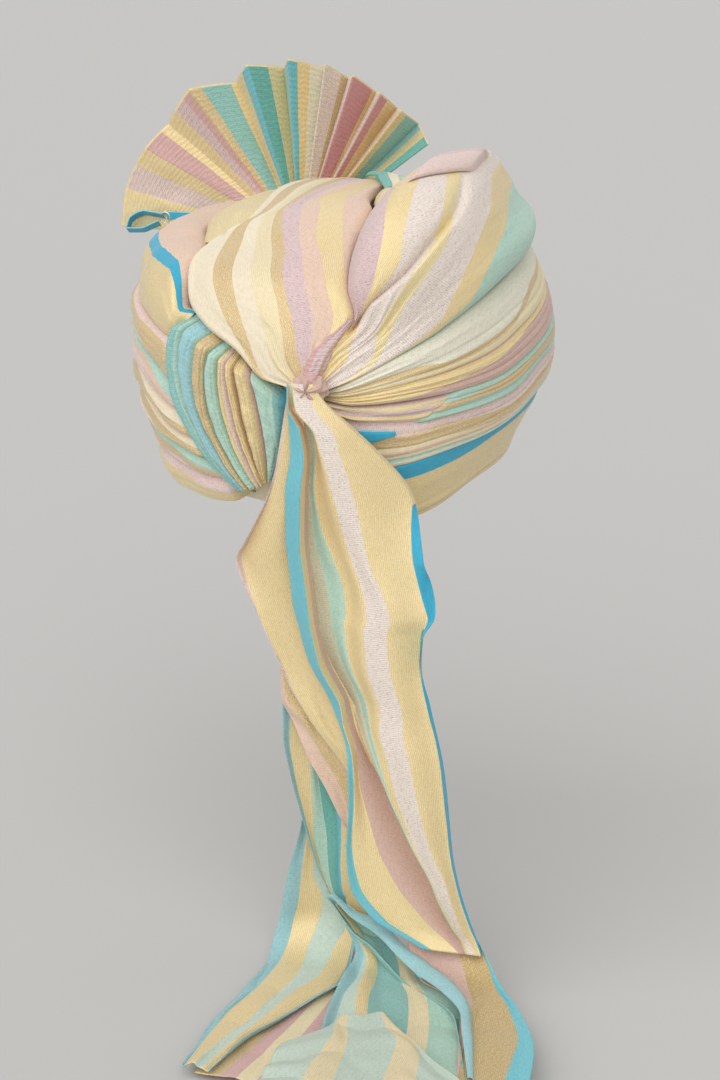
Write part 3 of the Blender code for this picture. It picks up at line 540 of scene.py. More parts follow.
def skin(turn, rise, out=0.0):
    """Points over the finished outer form of the body."""
    body = bpy.context.scene.turban_body
    turn, rise = np.radians(turn), np.radians(rise)
    level = np.abs(np.cos(rise))
    above = rise > 0
    girth = np.where(above, level**0.70, level**0.30)
    height = np.where(above, body.crown_rise + out, body.rim_reach + out) * np.sin(rise)
    x = -(body.half_width + out) * girth * np.sin(turn)
    y = (body.half_length + out) * girth * np.cos(turn)
    return settle(x, y, height)


def settled(turn, rise, sink):
    """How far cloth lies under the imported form: over the crown by sink, and towards the rim at the sides."""
    right = ease(20, 75, turn) * ease(180, 120, turn)
    left = ease(-30, -75, turn) * ease(-180, -120, turn)
    return sink * ease(SINK_START, SINK_END, rise) + RIM_DRAW * ease(0, -42, rise) * (right + 0.5 * left)


def chart(turn, rise):
    """Flat chart of the crown, with its top in the middle."""
    reach = 90 - rise
    return reach * np.sin(np.radians(turn)), reach * np.cos(np.radians(turn))


def unchart(across, back):
    """Turn and rise of a place on the chart."""
    return np.degrees(np.arctan2(across, back)), 90 - np.hypot(across, back)


def along(rows, share):
    """Points of a line of turns and rises on the chart, at these shares of its rows."""
    points = np.array([chart(turn, rise) for turn, rise in rows])
    table = np.column_stack([np.linspace(0, 1, len(points)), points])
    return smooth(table, share, 1), smooth(table, share, 2)


def crown_line(column):
    """One of the four lines of the crown. The last one's rise follows the upper edge of the wraps."""
    if column < 3:
        return [row[column] for row in CROWN_SECTIONS]
    return [(row[3], float(smooth(SEAM_RIGHT, row[3]))) for row in CROWN_SECTIONS]


def stretch(rows, start=0.0, end=1.0):
    """Part of a line over the crown, from one share of its rows to another."""
    return lambda share: along(rows, mix(start, end, share))


def lobe(first, second, spill=(0.0, 0.0)):
    """Cloth between two stretches of lines over the crown, spilling over each by some degrees."""
    def at(u, v):
        (one_x, one_y), (two_x, two_y) = first(u), second(u)
        width = np.hypot(two_x - one_x, two_y - one_y) + 0.01
        share = mix(-np.minimum(spill[0] / width, 0.3), 1 + np.minimum(spill[1] / width, 0.3), v)
        return unchart(mix(one_x, two_x, share), mix(one_y, two_y, share))
    return at


def between(low, high, start, end, spill=(0.0, 0.0)):
    """A band round the body between two edges, from one turn to another, each given at both edges."""
    def at(u, v):
        turn = mix(mix(start[0], start[1], v), mix(end[0], end[1], v), u)
        return turn, mix(smooth(low, turn) - spill[0], smooth(high, turn) + spill[1], v)
    return at


def join(low, high, side):
    """Turns at which a band ends at the slanted join in front, at its low and high edge."""
    return tuple(
        side * JOIN_TURN + JOIN_SLANT * (edge[-1][1] if side > 0 else edge[0][1]) - side * 0.2
        for edge in (low, high)
    )


def ripple(u, v, lengthwise, crosswise, seed):
    """Soft folds of cloth from -1 to 1: random heights on a lattice with this many cells each way."""
    heights = np.random.default_rng(seed).uniform(-1, 1, (lengthwise + 2, crosswise + 2))
    u = np.clip(u, 0, 1) * lengthwise
    v = np.clip(v, 0, 1) * crosswise
    i, j = np.floor(u).astype(int), np.floor(v).astype(int)
    a, b = ease(0, 1, u - i), ease(0, 1, v - j)
    near = mix(heights[i, j], heights[i + 1, j], a)
    far = mix(heights[i, j + 1], heights[i + 1, j + 1], a)
    return mix(near, far, b)


def roll(v, first, last, full):
    """Height across a fold: (height, width) of its rolled border at each side, and its full height."""
    one = np.sqrt(1 - np.clip(1 - v / first[1], 0, 1) ** 2)
    two = np.sqrt(1 - np.clip(1 - (1 - v) / last[1], 0, 1) ** 2)
    return first[0] + last[0] + (full - first[0]) * one + (full - last[0]) * two - full


def groove(v, place, width, depth):
    """A sharp crease along a sheet."""
    return -depth * np.exp(-np.abs(v - place) / width)


def lap(v, place, width, height):
    """A fold lying over the cloth beyond it: a step down at its place with a rolled edge."""
    share = (place - v) / width
    return height * np.where(share > 0, np.sqrt(1 - np.clip(1 - share, 0, 1) ** 2), 0)


def stripes(rows):
    """Stripe coordinate of a place: its edges, given in the rows, become equal steps from 0 to 1."""
    count = len(rows[0])

    def shares(u, v):
        edges = [0 * u, *(smooth(rows, u, column) for column in range(1, count)), 0 * u + 1]
        pairs = zip(edges, edges[1:])
        steps = [np.clip((v - low) / np.maximum(high - low, 1e-4), 0, 1) for low, high in pairs]
        return sum(steps) / count

    return shares


class Graph:
    """A material's nodes. Every node comes from add, and its output can be used in sums and products."""

    def __init__(self, material):
        material.use_nodes = True
        self.tree = material.node_tree
        self.shader = self.tree.nodes["Principled BSDF"]

    def add(self, kind, settings=None, inputs=None, output=0):
        node = self.tree.nodes.new(kind)
        for key, value in (settings or {}).items():
            if key == "stops":
                self.fill(node.color_ramp, value)
            elif key == "interpolation":
                node.color_ramp.interpolation = value
            else:
                setattr(node, key, value)
        for key, value in (inputs or {}).items():
            self.feed(node.inputs[key], value)
        return Value(self, node.outputs[output])

    def feed(self, socket, value):
        if isinstance(value, Value):
            self.tree.links.new(value.socket, socket)
        else:
            socket.default_value = value

    @staticmethod
    def fill(ramp, stops):
        while len(ramp.elements) < len(stops):
            ramp.elements.new(1.0)
        for element, (place, colour) in zip(ramp.elements, stops):
            element.position = place
            element.color = (*colour, 1.0)

    def maths(self, operation, *values):
        return self.add("ShaderNodeMath", {"operation": operation}, dict(enumerate(values)))

    def blend(self, share, first, second, way="MIX"):
        """Mixes two colours."""
        settings = {"data_type": "RGBA", "blend_type": way, "clamp_factor": True}
        return self.add("ShaderNodeMix", settings, {0: share, 6: first, 7: second}, output=2)


class Value:
    """A socket's value in an expression."""

    def __init__(self, graph, socket):
        self.graph = graph
        self.socket = socket

    def __add__(self, other):
        return self.graph.maths("ADD", self, other)

    def __sub__(self, other):
        return self.graph.maths("SUBTRACT", self, other)

    def __rsub__(self, other):
        return self.graph.maths("SUBTRACT", other, self)

    def __mul__(self, other):
        return self.graph.maths("MULTIPLY", self, other)

    def __gt__(self, other):
        return self.graph.maths("GREATER_THAN", self, other)

    __radd__ = __add__
    __rmul__ = __mul__


def even(*kinds):
    """Bands of equal shares. A kind may itself be a row of kinds that share its band."""
    bands = []
    for index, kind in enumerate(kinds):
        parts = (kind,) if isinstance(kind, str) else kind
        bands += [((index + part / len(parts)) / len(kinds), name) for part, name in enumerate(parts)]
    return bands


def stops_of(bands, column):
    """Ramp stops for one property of a row of stripes, each given as (start share, kind)."""
    if column == 0:
        return [(start, CLOTHS[kind][0]) for start, kind in bands]
    return [(start, (CLOTHS[kind][1], CLOTHS[kind][2], 0)) for start, kind in bands]


def cloth(name, bands, pucker=0.0, sheer=0.0, wander=0.004, border=None):
    """Striped cloth: metallic ribbed stripes and open gauze stripes, laid across the bands map.

    pucker crimps it and paints shade in the crimps' troughs, sheer thins it, wander lets stripe edges drift,
    and past border it is gold.
    """
    material = bpy.data.materials.new(name)
    graph = Graph(material)
    bands_map = graph.add("ShaderNodeUVMap", {"uv_map": "bands"})
    weave_map = graph.add("ShaderNodeUVMap", {"uv_map": "weave"})
    place = graph.add("ShaderNodeSeparateXYZ", None, {0: bands_map}, output=1)
    length = graph.add("ShaderNodeSeparateXYZ", None, {0: weave_map})
    width = graph.add("ShaderNodeSeparateXYZ", None, {0: weave_map}, output=1)

    def noise(along_scale, across_scale, detail=2.0):
        where = graph.add("ShaderNodeCombineXYZ", None, {0: length * along_scale, 1: width * across_scale})
        return graph.add("ShaderNodeTexNoise", None, {"Vector": where, "Scale": 1.0, "Detail": detail})

    drift = noise(30, 30, 1.0)
    edge = place + (drift - 0.5) * wander

    def striped(column):
        settings = {"stops": stops_of(bands, column), "interpolation": "CONSTANT"}
        return graph.add("ShaderNodeValToRGB", settings, {0: edge})

    colour = striped(0)
    finish = striped(1)
    metal = graph.add("ShaderNodeSeparateColor", None, {0: finish})
    gauze = graph.add("ShaderNodeSeparateColor", None, {0: finish}, output=1)
    ribs = graph.maths("SINE", width * (2 * math.pi / RIB_PITCH)) * 0.5 + 0.5
    wefts = graph.maths("SINE", length * (2 * math.pi / WEFT_PITCH) + noise(60, 12, 1.0) * 9) * 0.5 + 0.5
    glint = noise(1300, 800, 3.0)
    dash = noise(2200, 500, 2.0)
    cloud = noise(14, 22, 3.0)
    slub = noise(260, 1000, 2.0)
    holes = (dash > 0.60) * gauze
    colour = graph.blend((cloud - 0.35) * 0.5, colour, CLOUD_SHADE, "MULTIPLY")
    colour = graph.blend((slub - 0.42) * 0.9, colour, SLUB_SHADE, "MULTIPLY")
    # Painted glints: specks of light screened onto the metallic threads
    colour = graph.blend((glint - 0.45) * metal * 2.2, colour, PAINTED_GLINT_COLOUR, "SCREEN")
    # Painted shade in the troughs between the ribs and the wefts, and in the gauze's holes where the bump dips
    colour = graph.blend((1 - ribs) * metal * 0.30, colour, RIB_SHADE, "MULTIPLY")
    colour = graph.blend((1 - wefts) * gauze * 0.26, colour, WEFT_SHADE, "MULTIPLY")
    colour = graph.blend(holes * 0.50, colour, HOLE_SHADE, "MULTIPLY")
    if border:
        share = graph.add("ShaderNodeSeparateXYZ", None, {0: bands_map})
        colour = graph.blend(share > border, colour, (*CLOTHS["gold"][0], 1))
    height = ribs * metal * 0.5 + wefts * gauze * 0.6 + glint * metal * 0.8 + slub * 0.8 - holes * 0.5
    if pucker:
        crimps = graph.maths("SINE", length * (2 * math.pi / CRIMP_PITCH) + noise(40, 200, 2.0) * 11)
        height = height + crimps * (pucker * 0.9)
        # Painted shade in the troughs of the crimps
        colour = graph.blend((0.5 - crimps * 0.5) * (0.24 * pucker), colour, CRIMP_SHADE, "MULTIPLY")
    shader = graph.shader
    graph.feed(shader.inputs["Base Color"], colour)
    graph.feed(shader.inputs["Roughness"], 0.82 - metal * 0.34 + (glint - 0.5) * metal * 0.3)
    graph.feed(shader.inputs["Metallic"], metal * 0.20)
    bump = graph.add("ShaderNodeBump", None, {"Strength": 0.45, "Distance": THREAD_DEPTH, "Height": height})
    graph.feed(shader.inputs["Normal"], bump)
    shader.inputs["Sheen Weight"].default_value = 0.25
    shader.inputs["Sheen Roughness"].default_value = 0.5
    if sheer:
        threads = 1 - sheer * (0.35 + gauze * 0.65) * (0.6 + dash * 0.8)
        graph.feed(shader.inputs["Alpha"], graph.maths("MAXIMUM", threads, LEAST_ALPHA))
    return material


def steel():
    """Bright drawn wire with fine scratches."""
    material = bpy.data.materials.new("bright wire")
    graph = Graph(material)
    where = graph.add("ShaderNodeTexCoord", None, None, output=3)
    worn = graph.add("ShaderNodeTexNoise", None, {"Vector": where, "Scale": 900.0, "Detail": 3.0})
    graph.feed(graph.shader.inputs["Roughness"], worn * 0.3 + 0.15)
    shine = graph.blend(worn, (0.62, 0.62, 0.62, 1), (0.78, 0.78, 0.76, 1))
    graph.feed(graph.shader.inputs["Base Color"], shine)
    graph.shader.inputs["Metallic"].default_value = 1.0
    return material


def fresh(name):
    """Names the primitive just added and gives it with the places of its points."""
    piece = bpy.context.object
    piece.name = piece.data.name = name
    flat = np.empty(len(piece.data.vertices) * 3)
    piece.data.vertices.foreach_get("co", flat)
    return piece, flat.reshape(-1, 3)


def new_grid(name, columns, rows):
    """A fresh grid from the primitive, and each point's shares along (u) and across (v)."""
    bpy.ops.object.select_all(action="DESELECT")
    bpy.ops.mesh.primitive_grid_add(x_subdivisions=columns, y_subdivisions=rows, size=1.0)
    piece, flat = fresh(name)
    return piece, flat[:, 0] + 0.5, flat[:, 1] + 0.5


def new_ball(name, segments, rings, radius):
    """A fresh sphere from the primitive, and the places of its points."""
    bpy.ops.object.select_all(action="DESELECT")
    bpy.ops.mesh.primitive_uv_sphere_add(segments=segments, ring_count=rings, radius=radius)
    return fresh(name)


def write_maps(mesh, bands, weave):
    """Gives a mesh its two UV maps, each from a pair of values for every point."""
    corners = np.empty(len(mesh.loops), int)
    mesh.loops.foreach_get("vertex_index", corners)
    for layer in list(mesh.uv_layers):
        mesh.uv_layers.remove(layer)
    for name, values in (("bands", bands), ("weave", weave)):
        layer = mesh.uv_layers.new(name=name)
        layer.data.foreach_set("uv", values[corners].ravel())


def put_points(mesh, points):
    """Moves a mesh's points to these places."""
    mesh.vertices.foreach_set("co", points.astype(np.float32).ravel())
    mesh.update()


def dress(piece, material, node):
    """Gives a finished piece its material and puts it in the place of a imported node."""
    piece.data.materials.append(material)
    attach(piece, "root")
    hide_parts(node)


def map_sheet(piece, columns, rows, points, shares):
    """Maps a grid, with weave from lengths measured on the sheet, and gives the sheet's area and length."""
    grid = points.reshape(rows + 1, columns + 1, 3)
    lengthwise = np.linalg.norm(np.diff(grid, axis=1), axis=2)
    crosswise = np.linalg.norm(np.diff(grid, axis=0), axis=2)
    length = np.concatenate([[0], np.cumsum(lengthwise.mean(axis=0))])
    width = np.concatenate([np.zeros((1, columns + 1)), np.cumsum(crosswise, axis=0)])
    width = width - width[-1:] / 2
    weave = np.stack([np.broadcast_to(length, width.shape), width], axis=-1).reshape(-1, 2)
    write_maps(piece.data, shares, weave)
    lines = np.linalg.norm(np.cross(grid[1:, :-1] - grid[:-1, :-1], grid[:-1, 1:] - grid[:-1, :-1]), axis=2)
    return float(lines.sum()), float(length[-1])


def apply_wall(piece, wall, offset):
    """Thickens an open sheet into cloth and shades it smooth."""
    modifier = piece.modifiers.new("wall", "SOLIDIFY")
    modifier.thickness = wall
    modifier.offset = offset
    modifier.use_even_offset = False
    bpy.ops.object.modifier_apply(modifier=modifier.name)
    piece.data.shade_smooth()


def sheet(name, size, where, material, node, wall, shares=None, offset=-1.0):
    """A sheet of cloth from points over its shares, thickened and riding in place of its node."""
    columns, rows = size
    piece, u, v = new_grid(name, columns, rows)
    points = where(u, v)
    put_points(piece.data, points)
    across = v if shares is None else shares(u, v)
    area, length = map_sheet(piece, columns, rows, points, np.column_stack([u, across]))
    if facing(points.reshape(rows + 1, columns + 1, 3)) < 0:
        piece.data.flip_normals()
    apply_wall(piece, wall, offset)
    dress(piece, material, node)


def facing(grid):
    """Positive when a grid's faces look away from the body's middle."""
    normals = np.cross(grid[:-1, 1:] - grid[:-1, :-1], grid[1:, :-1] - grid[:-1, :-1])
    middle = np.array([0, 0, -bpy.context.scene.turban_body.hollow_rise])
    return float((normals * (grid[:-1, :-1] - middle)).sum())


def fold(name, size, at, height, material, node, shares=None,
         sink=0.0):
    """Folded cloth on the body: places from at(u, v) and heights over the inner wraps from height(u, v)."""
    def where(u, v):
        turn, rise = at(u, v)
        return skin(turn, rise, height(u, v) - LAYER_DEPTH - settled(turn, rise, sink))
    wall = bpy.context.scene.turban_body.cloth_wall
    sheet(name, size, where, material, node, wall, shares=shares)


class InnerWraps(bpy.types.Operator):
    """Builds the inner turns of the wrap and the lined head hollow"""

    bl_idname = "turban.inner_wraps"
    bl_label = "Inner wraps"

    def execute(self, context):
        body = context.scene.turban_body
        lining = cloth("lining cloth", ((0, "cream"), (0.35, "gold"), (0.5, "white"), (0.75, "cream")))
        segments, outer, inner = 144, 60, 48
        total = outer + inner + 2
        piece, flat = new_ball("inner_turns", segments, total, 1.0)
        ring = np.round(np.arccos(np.clip(flat[:, 2], -1, 1)) / math.pi * total)
        turn = np.degrees(np.arctan2(-flat[:, 0], flat[:, 1]))
        rise = mix(90.0, RIM_ANGLE, np.minimum(ring, outer) / outer)
        outside = skin(turn, rise, -LAYER_DEPTH - LAYER_GAP - settled(turn, rise, 1.5 * CROWN_SINK))
        share = np.clip((ring - outer - 1) / (total - outer - 1), 0, 1)
        angle = share * math.pi / 2
        girth = np.cos(angle) ** HOLLOW_FULLNESS
        foot = body.rim_reach * math.sin(math.radians(RIM_ANGLE))
        turns = LINING_RIDGE * np.abs(np.sin(share * LINING_WAVES + np.radians(turn) / 2)) * girth
        x = -(body.head_half_width + turns) * girth * np.sin(np.radians(turn))
        y = (body.head_half_length + turns) * girth * np.cos(np.radians(turn))
        inside = settle(x, y, mix(foot, body.hollow_rise, np.sin(angle)))
        points = np.where((ring <= outer)[:, None], outside, inside)
        put_points(piece.data, points)
        rounds = np.column_stack([turn / 360, (share * LINING_STRIPES + 0.02) % 1.0])
        metres = np.column_stack([np.radians(turn) * body.head_half_length, share * LINING_LENGTH])
        write_maps(piece.data, rounds, metres)
        piece.data.shade_smooth()
        dress(piece, lining, "inner_wraps")
        return {"FINISHED"}


class Crown(bpy.types.Operator):
    """Drapes the two lobes over the crown, with the flap between them and the cloth under the fan"""

    bl_idname = "turban.crown"
    bl_label = "Crown"

    def execute(self, context):
        body = context.scene.turban_body
        left, parting_left, parting_right, seam = (crown_line(column) for column in range(4))

        def left_height(u, v):
            """The left lobe: rolled borders, soft folds, and gathers that fade away from the knot."""
            height = roll(v, (0.004, 0.06), (0.003, 0.07), FOLD_DEPTH)
            height = height + 0.0007 * ripple(u, v, 4, 9, 3) * ease(0, 0.1, v) * ease(1, 0.9, v)
            height = height + 0.0010 * ripple(u, v, 3, 30, 5) * ease(0.3, 0.0, u)
            return height + 0.0004 * ripple(u, v, 14, 22, 7)

        bands = even("cream", "brown", ("cream", "butter"), "brown", ("lilac", "peach"), "gold", "peach")
        left_at = lobe(stretch(left), stretch(parting_left), (0.5, 0.3))
        fold(
            "left_lobe_cloth", (220, 160), left_at, left_height, cloth("left lobe cloth", bands),
            "crown_left_lobe", shares=stripes(LEFT_LOBE_STRIPES),
            sink=CROWN_SINK,
        )

        def right_height(u, v):
            """The right lobe: a swelling form, drawn in along the pinch's groove and gathered at the knot."""
            swell = body.lobe_swell * ease(0.18, 0.5, u) * ease(1.0, 0.66, u) * (1 - 0.45 * ease(0.3, 0.8, v))
            height = roll(v, (0.003, 0.08), (0.006, 0.08), FOLD_DEPTH)
            height = height + swell * roll(v, (0, 0.24), (0, 0.24), 1.0)
            line = smooth(PINCH_GROOVE, u)
            near = ease(0.14, 0.21, u) * ease(0.58, 0.42, u)
            beyond = v - line
            height = height + groove(v, line, 0.022, 0.006) * near
            height = height + 0.0035 * ease(-0.01, 0.05, beyond) * ease(0.5, 0.05, beyond) * near
            pinch = np.exp(-((u - 0.205) / 0.05) ** 2)
            height = height - 0.003 * pinch * np.exp(-((v - 0.12) / 0.12) ** 2)
            gather = np.exp(-((u - 0.2) / 0.11) ** 2) * ease(0.9, 0.2, v)
            height = height + 0.0014 * ripple(u, v, 3, 34, 11) * gather
            height = height + 0.0008 * ripple(u, v, 4, 18, 12) * ease(0.25, 0, u)
            return height + 0.0007 * ripple(u, v, 5, 10, 13) + 0.00025 * ripple(u, v, 22, 30, 14)

        bands = even("lilac", "gold", "white", "bright", "white", "gold", "mint")
        right_at = lobe(stretch(parting_right), stretch(seam), (0.3, 0.8))
        fold(
            "right_lobe_cloth", (230, 170), right_at, right_height,
            cloth("right lobe cloth", bands), "crown_right_lobe",
            shares=stripes(RIGHT_LOBE_STRIPES), sink=0.4 * CROWN_SINK,
        )

        def flap_height(u, v):
            return roll(v, (0.002, 0.4), (0.002, 0.4), 0.013) + 0.001 * ripple(u, v, 3, 5, 17)

        flap = lobe(stretch(parting_left, 0.5, 0.97), stretch(parting_right, 0.5, 0.97), (-1.0, -1.0))
        bands = ((0, "gold"), (0.3, "pink"), (0.7, "peach"), (0.9, "gold"))
        fold(
            "parting_flap_cloth", (120, 40), flap, flap_height, cloth("flap cloth", bands),
            "crown_flap", sink=0.7 * CROWN_SINK,
        )

        def over(u, v):
            """Places of the fold over the right lobe's top, as shares of that lobe."""
            return mix(0.532, 0.588, u) + mix(-0.022, 0.070, v), mix(0.08, 0.38, u)

        def over_height(u, v):
            ends = ease(0, 0.2, u) * ease(1, 0.8, u)
            folded = roll(v, (0.0, 0.4), (0.0, 0.4), 0.0050) * ends
            return right_height(*over(u, v)) + mix(-0.0030, 0.0008, ends) + folded

        bands = ((0, "pink"), (0.62, "lilac"), (0.8, "gold"))
        fold(
            "crown_fold_cloth", (100, 40), lambda u, v: right_at(*over(u, v)), over_height,
            cloth("crown fold cloth", bands), "crown_flap",
            sink=0.4 * CROWN_SINK,
        )

        def base_height(u, v):
            return roll(v, (0.002, 0.2), (0.002, 0.2), 0.009) + 0.0012 * ripple(u, v, 8, 5, 19)

        base = lobe(stretch(FAN_BASE_EDGE), stretch(left, 0.62), (2.5, 1.5))
        bands = ((0, "gold"), (0.3, "bright"), (0.7, "gold"))
        fold(
            "fan_base_cloth", (120, 60), base, base_height, cloth("fan base cloth", bands),
            "fan_base", sink=1.2 * CROWN_SINK,
        )
        return {"FINISHED"}


class RightWraps(bpy.types.Operator):
    """Lays the folded turns round the wearer's right, each lapping over the one below it"""

    bl_idname = "turban.right_wraps"
    bl_label = "Right wraps"

    def execute(self, context):
        # Columns: name, node, slot, low edge, high edge, turns where it starts at its low and high edge,
        # spill over each edge in degrees, stripes, creases (share across, depth)
        rows = (
            ("wrap_a_cloth", "right_wrap_1", "cream_cloth", EDGE_AB, SEAM_RIGHT, (8, 9), (0.4, 0.0),
             ("butter", "brown", "grey"), ((0.20, 0.0014), (0.38, 0.0010))),
            ("wrap_b_cloth", "right_wrap_2", "gold_cloth", EDGE_BC, EDGE_AB, (9, 9), (-0.4, 0.6),
             ("mauve", "gold", "peach"), ((0.36, 0.0012), (0.56, 0.0008), (0.78, 0.0012))),
            ("wrap_c_cloth", "right_wrap_3", "mint_cloth", EDGE_CD, EDGE_BC, (30, 43), (0.6, 1.8),
             ("mint", "brown", "mint"), ((0.26, 0.0012), (0.62, 0.0014))),
            ("wrap_d_cloth", "right_wrap_4", "pink_cloth", EDGE_DE, EDGE_CD, (-1, 4), (0.2, 0.6),
             (("bright", "cream", "mint", "butter", "peach", "butter"), "brown", "pink"),
             ((0.28, 0.0008), (0.5, 0.0012), (0.72, 0.0014))),
        )
        for index, (name, node, slot, low, high, start, spill, kinds, creases) in enumerate(rows):
            def height(u, v, creases=creases, seed=31 + 7 * index):
                full = roll(v, (0.0045, 0.10), (0.002, 0.34), FOLD_DEPTH) * mix(0.45, 1, ease(0, 0.05, u))
                for place, depth in creases:
                    wander = place + 0.05 * ripple(u, v * 0, 5, 1, seed + round(place * 100))
                    full = full + groove(v, wander, 0.02, depth) * ease(0, 0.2, v) * ease(1, 0.8, v)
                gather = 0.0012 * ripple(u, v, 4, 14, seed) * ease(0.40, 0.0, u)
                return full + gather + 0.0004 * ripple(u, v, 10, 12, seed + 1)
            at = between(low, high, start, join(low, high, 1), spill)
            material = cloth(name.replace("_", " "), even(*kinds))
            fold(name, (280, 50), at, height, material, node, shares=stripes(WRAP_STRIPES[index]))

        def band_height(u, v):
            full = roll(v, (0.002, 0.12), (FOLD_DEPTH, 0.03), 0.0115)
            tuck = lap(1 - v, 0.75, 0.05, 0.0012) * ease(0.5, 0.35, u)
            full = full * mix(1, 0.6, ease(0.2, 0.42, u))
            return full - tuck + 0.0004 * ripple(u, v, 12, 8, 71) + 0.0008 * ripple(u, v, 8, 2, 73)

        band = between(RIM_RIGHT, EDGE_DE, (-2, -1), join(RIM_RIGHT, EDGE_DE, 1), (0.0, 0.6))
        bands = ((0, "gold"), (0.16, "brown"), (0.2, "gold"), (0.78, "blue"))
        material = cloth("rim band cloth", bands)
        fold("rim_band_cloth", (280, 60), band, band_height, material, "rim_wrap")
        return {"FINISHED"}


def bundle_point(line, share):
    """Places on a line of the left bundle, from its top (0) to its foot (1)."""
    top_turn, top_rise, middle_turn, foot_turn, foot_rise = line
    pull = 2 * middle_turn - (top_turn + foot_turn) / 2
    turn = top_turn * (1 - share) ** 2 + 2 * pull * share * (1 - share) + foot_turn * share**2
    return turn, mix(top_rise, foot_rise, share)


def bundle_turn(line, rise):
    """The turn of a line of the left bundle at a rise."""
    share = min(1.0, max(0.0, (rise - line[1]) / (line[4] - line[1])))
    return bundle_point(line, share)[0]


class LeftWraps(bpy.types.Operator):
    """Lays the rolled turns round the wearer's left"""

    bl_idname = "turban.left_wraps"
    bl_label = "Left wraps"

    def execute(self, context):
        kinds = (
            ("gold", "blue", "peach"), ("peach", "brown", "pink"), ("pink", "peach", "mint"),
            ("peach", "brown", "cream"), ("cream", "brown", "cream"), ("pink", "brown", "mint"),
            ("butter", "gold", "pink"),
        )
        # Columns: name, node, slot, low edge, high edge
        rows = (
            ("top_roll_cloth", "left_top_roll", "gold_cloth", EDGE_L0, ROLL_TOP),
            ("left_turn_1_cloth", "left_roll_1", "pink_cloth", EDGE_L1, EDGE_L0),
            ("left_turn_2_cloth", "left_roll_2", "cream_cloth", EDGE_L2, EDGE_L1),
            ("left_turn_3_cloth", "left_roll_3", "gold_cloth", EDGE_L3, EDGE_L2),
            ("left_turn_4_cloth", "left_roll_4", "mint_cloth", EDGE_L4, EDGE_L3),
            ("left_turn_5_cloth", "left_roll_5", "pink_cloth", EDGE_L5, EDGE_L4),
            ("left_turn_6_cloth", "left_roll_6", "gold_cloth", RIM_LEFT, EDGE_L5),
        )
        for index, (name, node, slot, low, high) in enumerate(rows):
            starts = tuple(bundle_turn(BUNDLE_LINES[0], edge[-1][1]) + 0.9 for edge in (low, high))

            def height(u, v, seed=101 + 5 * index):
                full = roll(v, (0.0025, 0.38), (0.002, 0.42), 0.0122)
                full = full + 0.0016 * ripple(u, v, 16, 3, seed) + 0.0005 * ripple(u, v, 9, 10, seed + 1)
                return full * mix(0.35, 1, ease(1, 0.975, u))

            at = between(low, high, join(low, high, -1), starts, (0.5, 0.3))
            material = cloth(name.replace("_", " "), even(*kinds[index]))
            sink = 0.0 if index else 1.4 * CROWN_SINK
            shares = stripes(ROLL_STRIPES[index])
            fold(name, (260, 36), at, height, material, node, shares=shares, sink=sink)
        return {"FINISHED"}


class LeftBundle(bpy.types.Operator):
    """Pleats the bundle that runs down beside the knot"""

    bl_idname = "turban.left_bundle"
    bl_label = "Left bundle"

    def execute(self, context):
        pleats = (
            ("teal_cloth", ((0, "aqua"), (0.28, "teal"), (0.7, "mint"))),
            ("teal_cloth", ((0, "sky"), (0.6, "sky"), (0.85, "mint"))),
            ("gold_cloth", ((0, "gold"), (0.2, "brown"), (0.85, "gold"))),
            ("mint_cloth", ((0, "aqua"), (0.25, "mint"))),
            ("gold_cloth", ((0, "gold"), (0.55, "pink"))),
            ("gold_cloth", ((0, "gold"), (0.75, "brown"))),
            ("gold_cloth", ((0, "brown"), (0.3, "gold"), (0.85, "pink"))),
            ("mint_cloth", ((0, "brown"), (0.10, "mint"), (0.66, "teal"), (0.8, "aqua"), (0.94, "teal"))),
        )
        for index, (slot, bands) in enumerate(pleats):
            left, right = BUNDLE_LINES[index], BUNDLE_LINES[index + 1]

            def at(u, v, left=left, right=right):
                (one_turn, one_rise), (two_turn, two_rise) = bundle_point(left, u), bundle_point(right, u)
                return mix(one_turn, two_turn, v), mix(one_rise, two_rise, v)

            def height(u, v, seed=211 + 3 * index):
                full = roll(v, (0.0020, 0.24), (0.0010, 0.42), 0.0145 + 0.001 * ripple(u, v * 0, 4, 1, seed))
                full = full + groove(v, 0.55 + 0.2 * ripple(u, v * 0, 3, 1, seed + 2), 0.04, 0.0016)
                return full * mix(0.12, 1.0, ease(0, 0.13, u)) + 0.0005 * ripple(u, v, 14, 4, seed + 1)

            number = index + 1
            material = cloth(f"bundle pleat {number} cloth", bands, pucker=0.4)
            fold(f"bundle_pleat_{number}", (150, 30), at, height, material, f"bundle_fold_{number}")
        return {"FINISHED"}


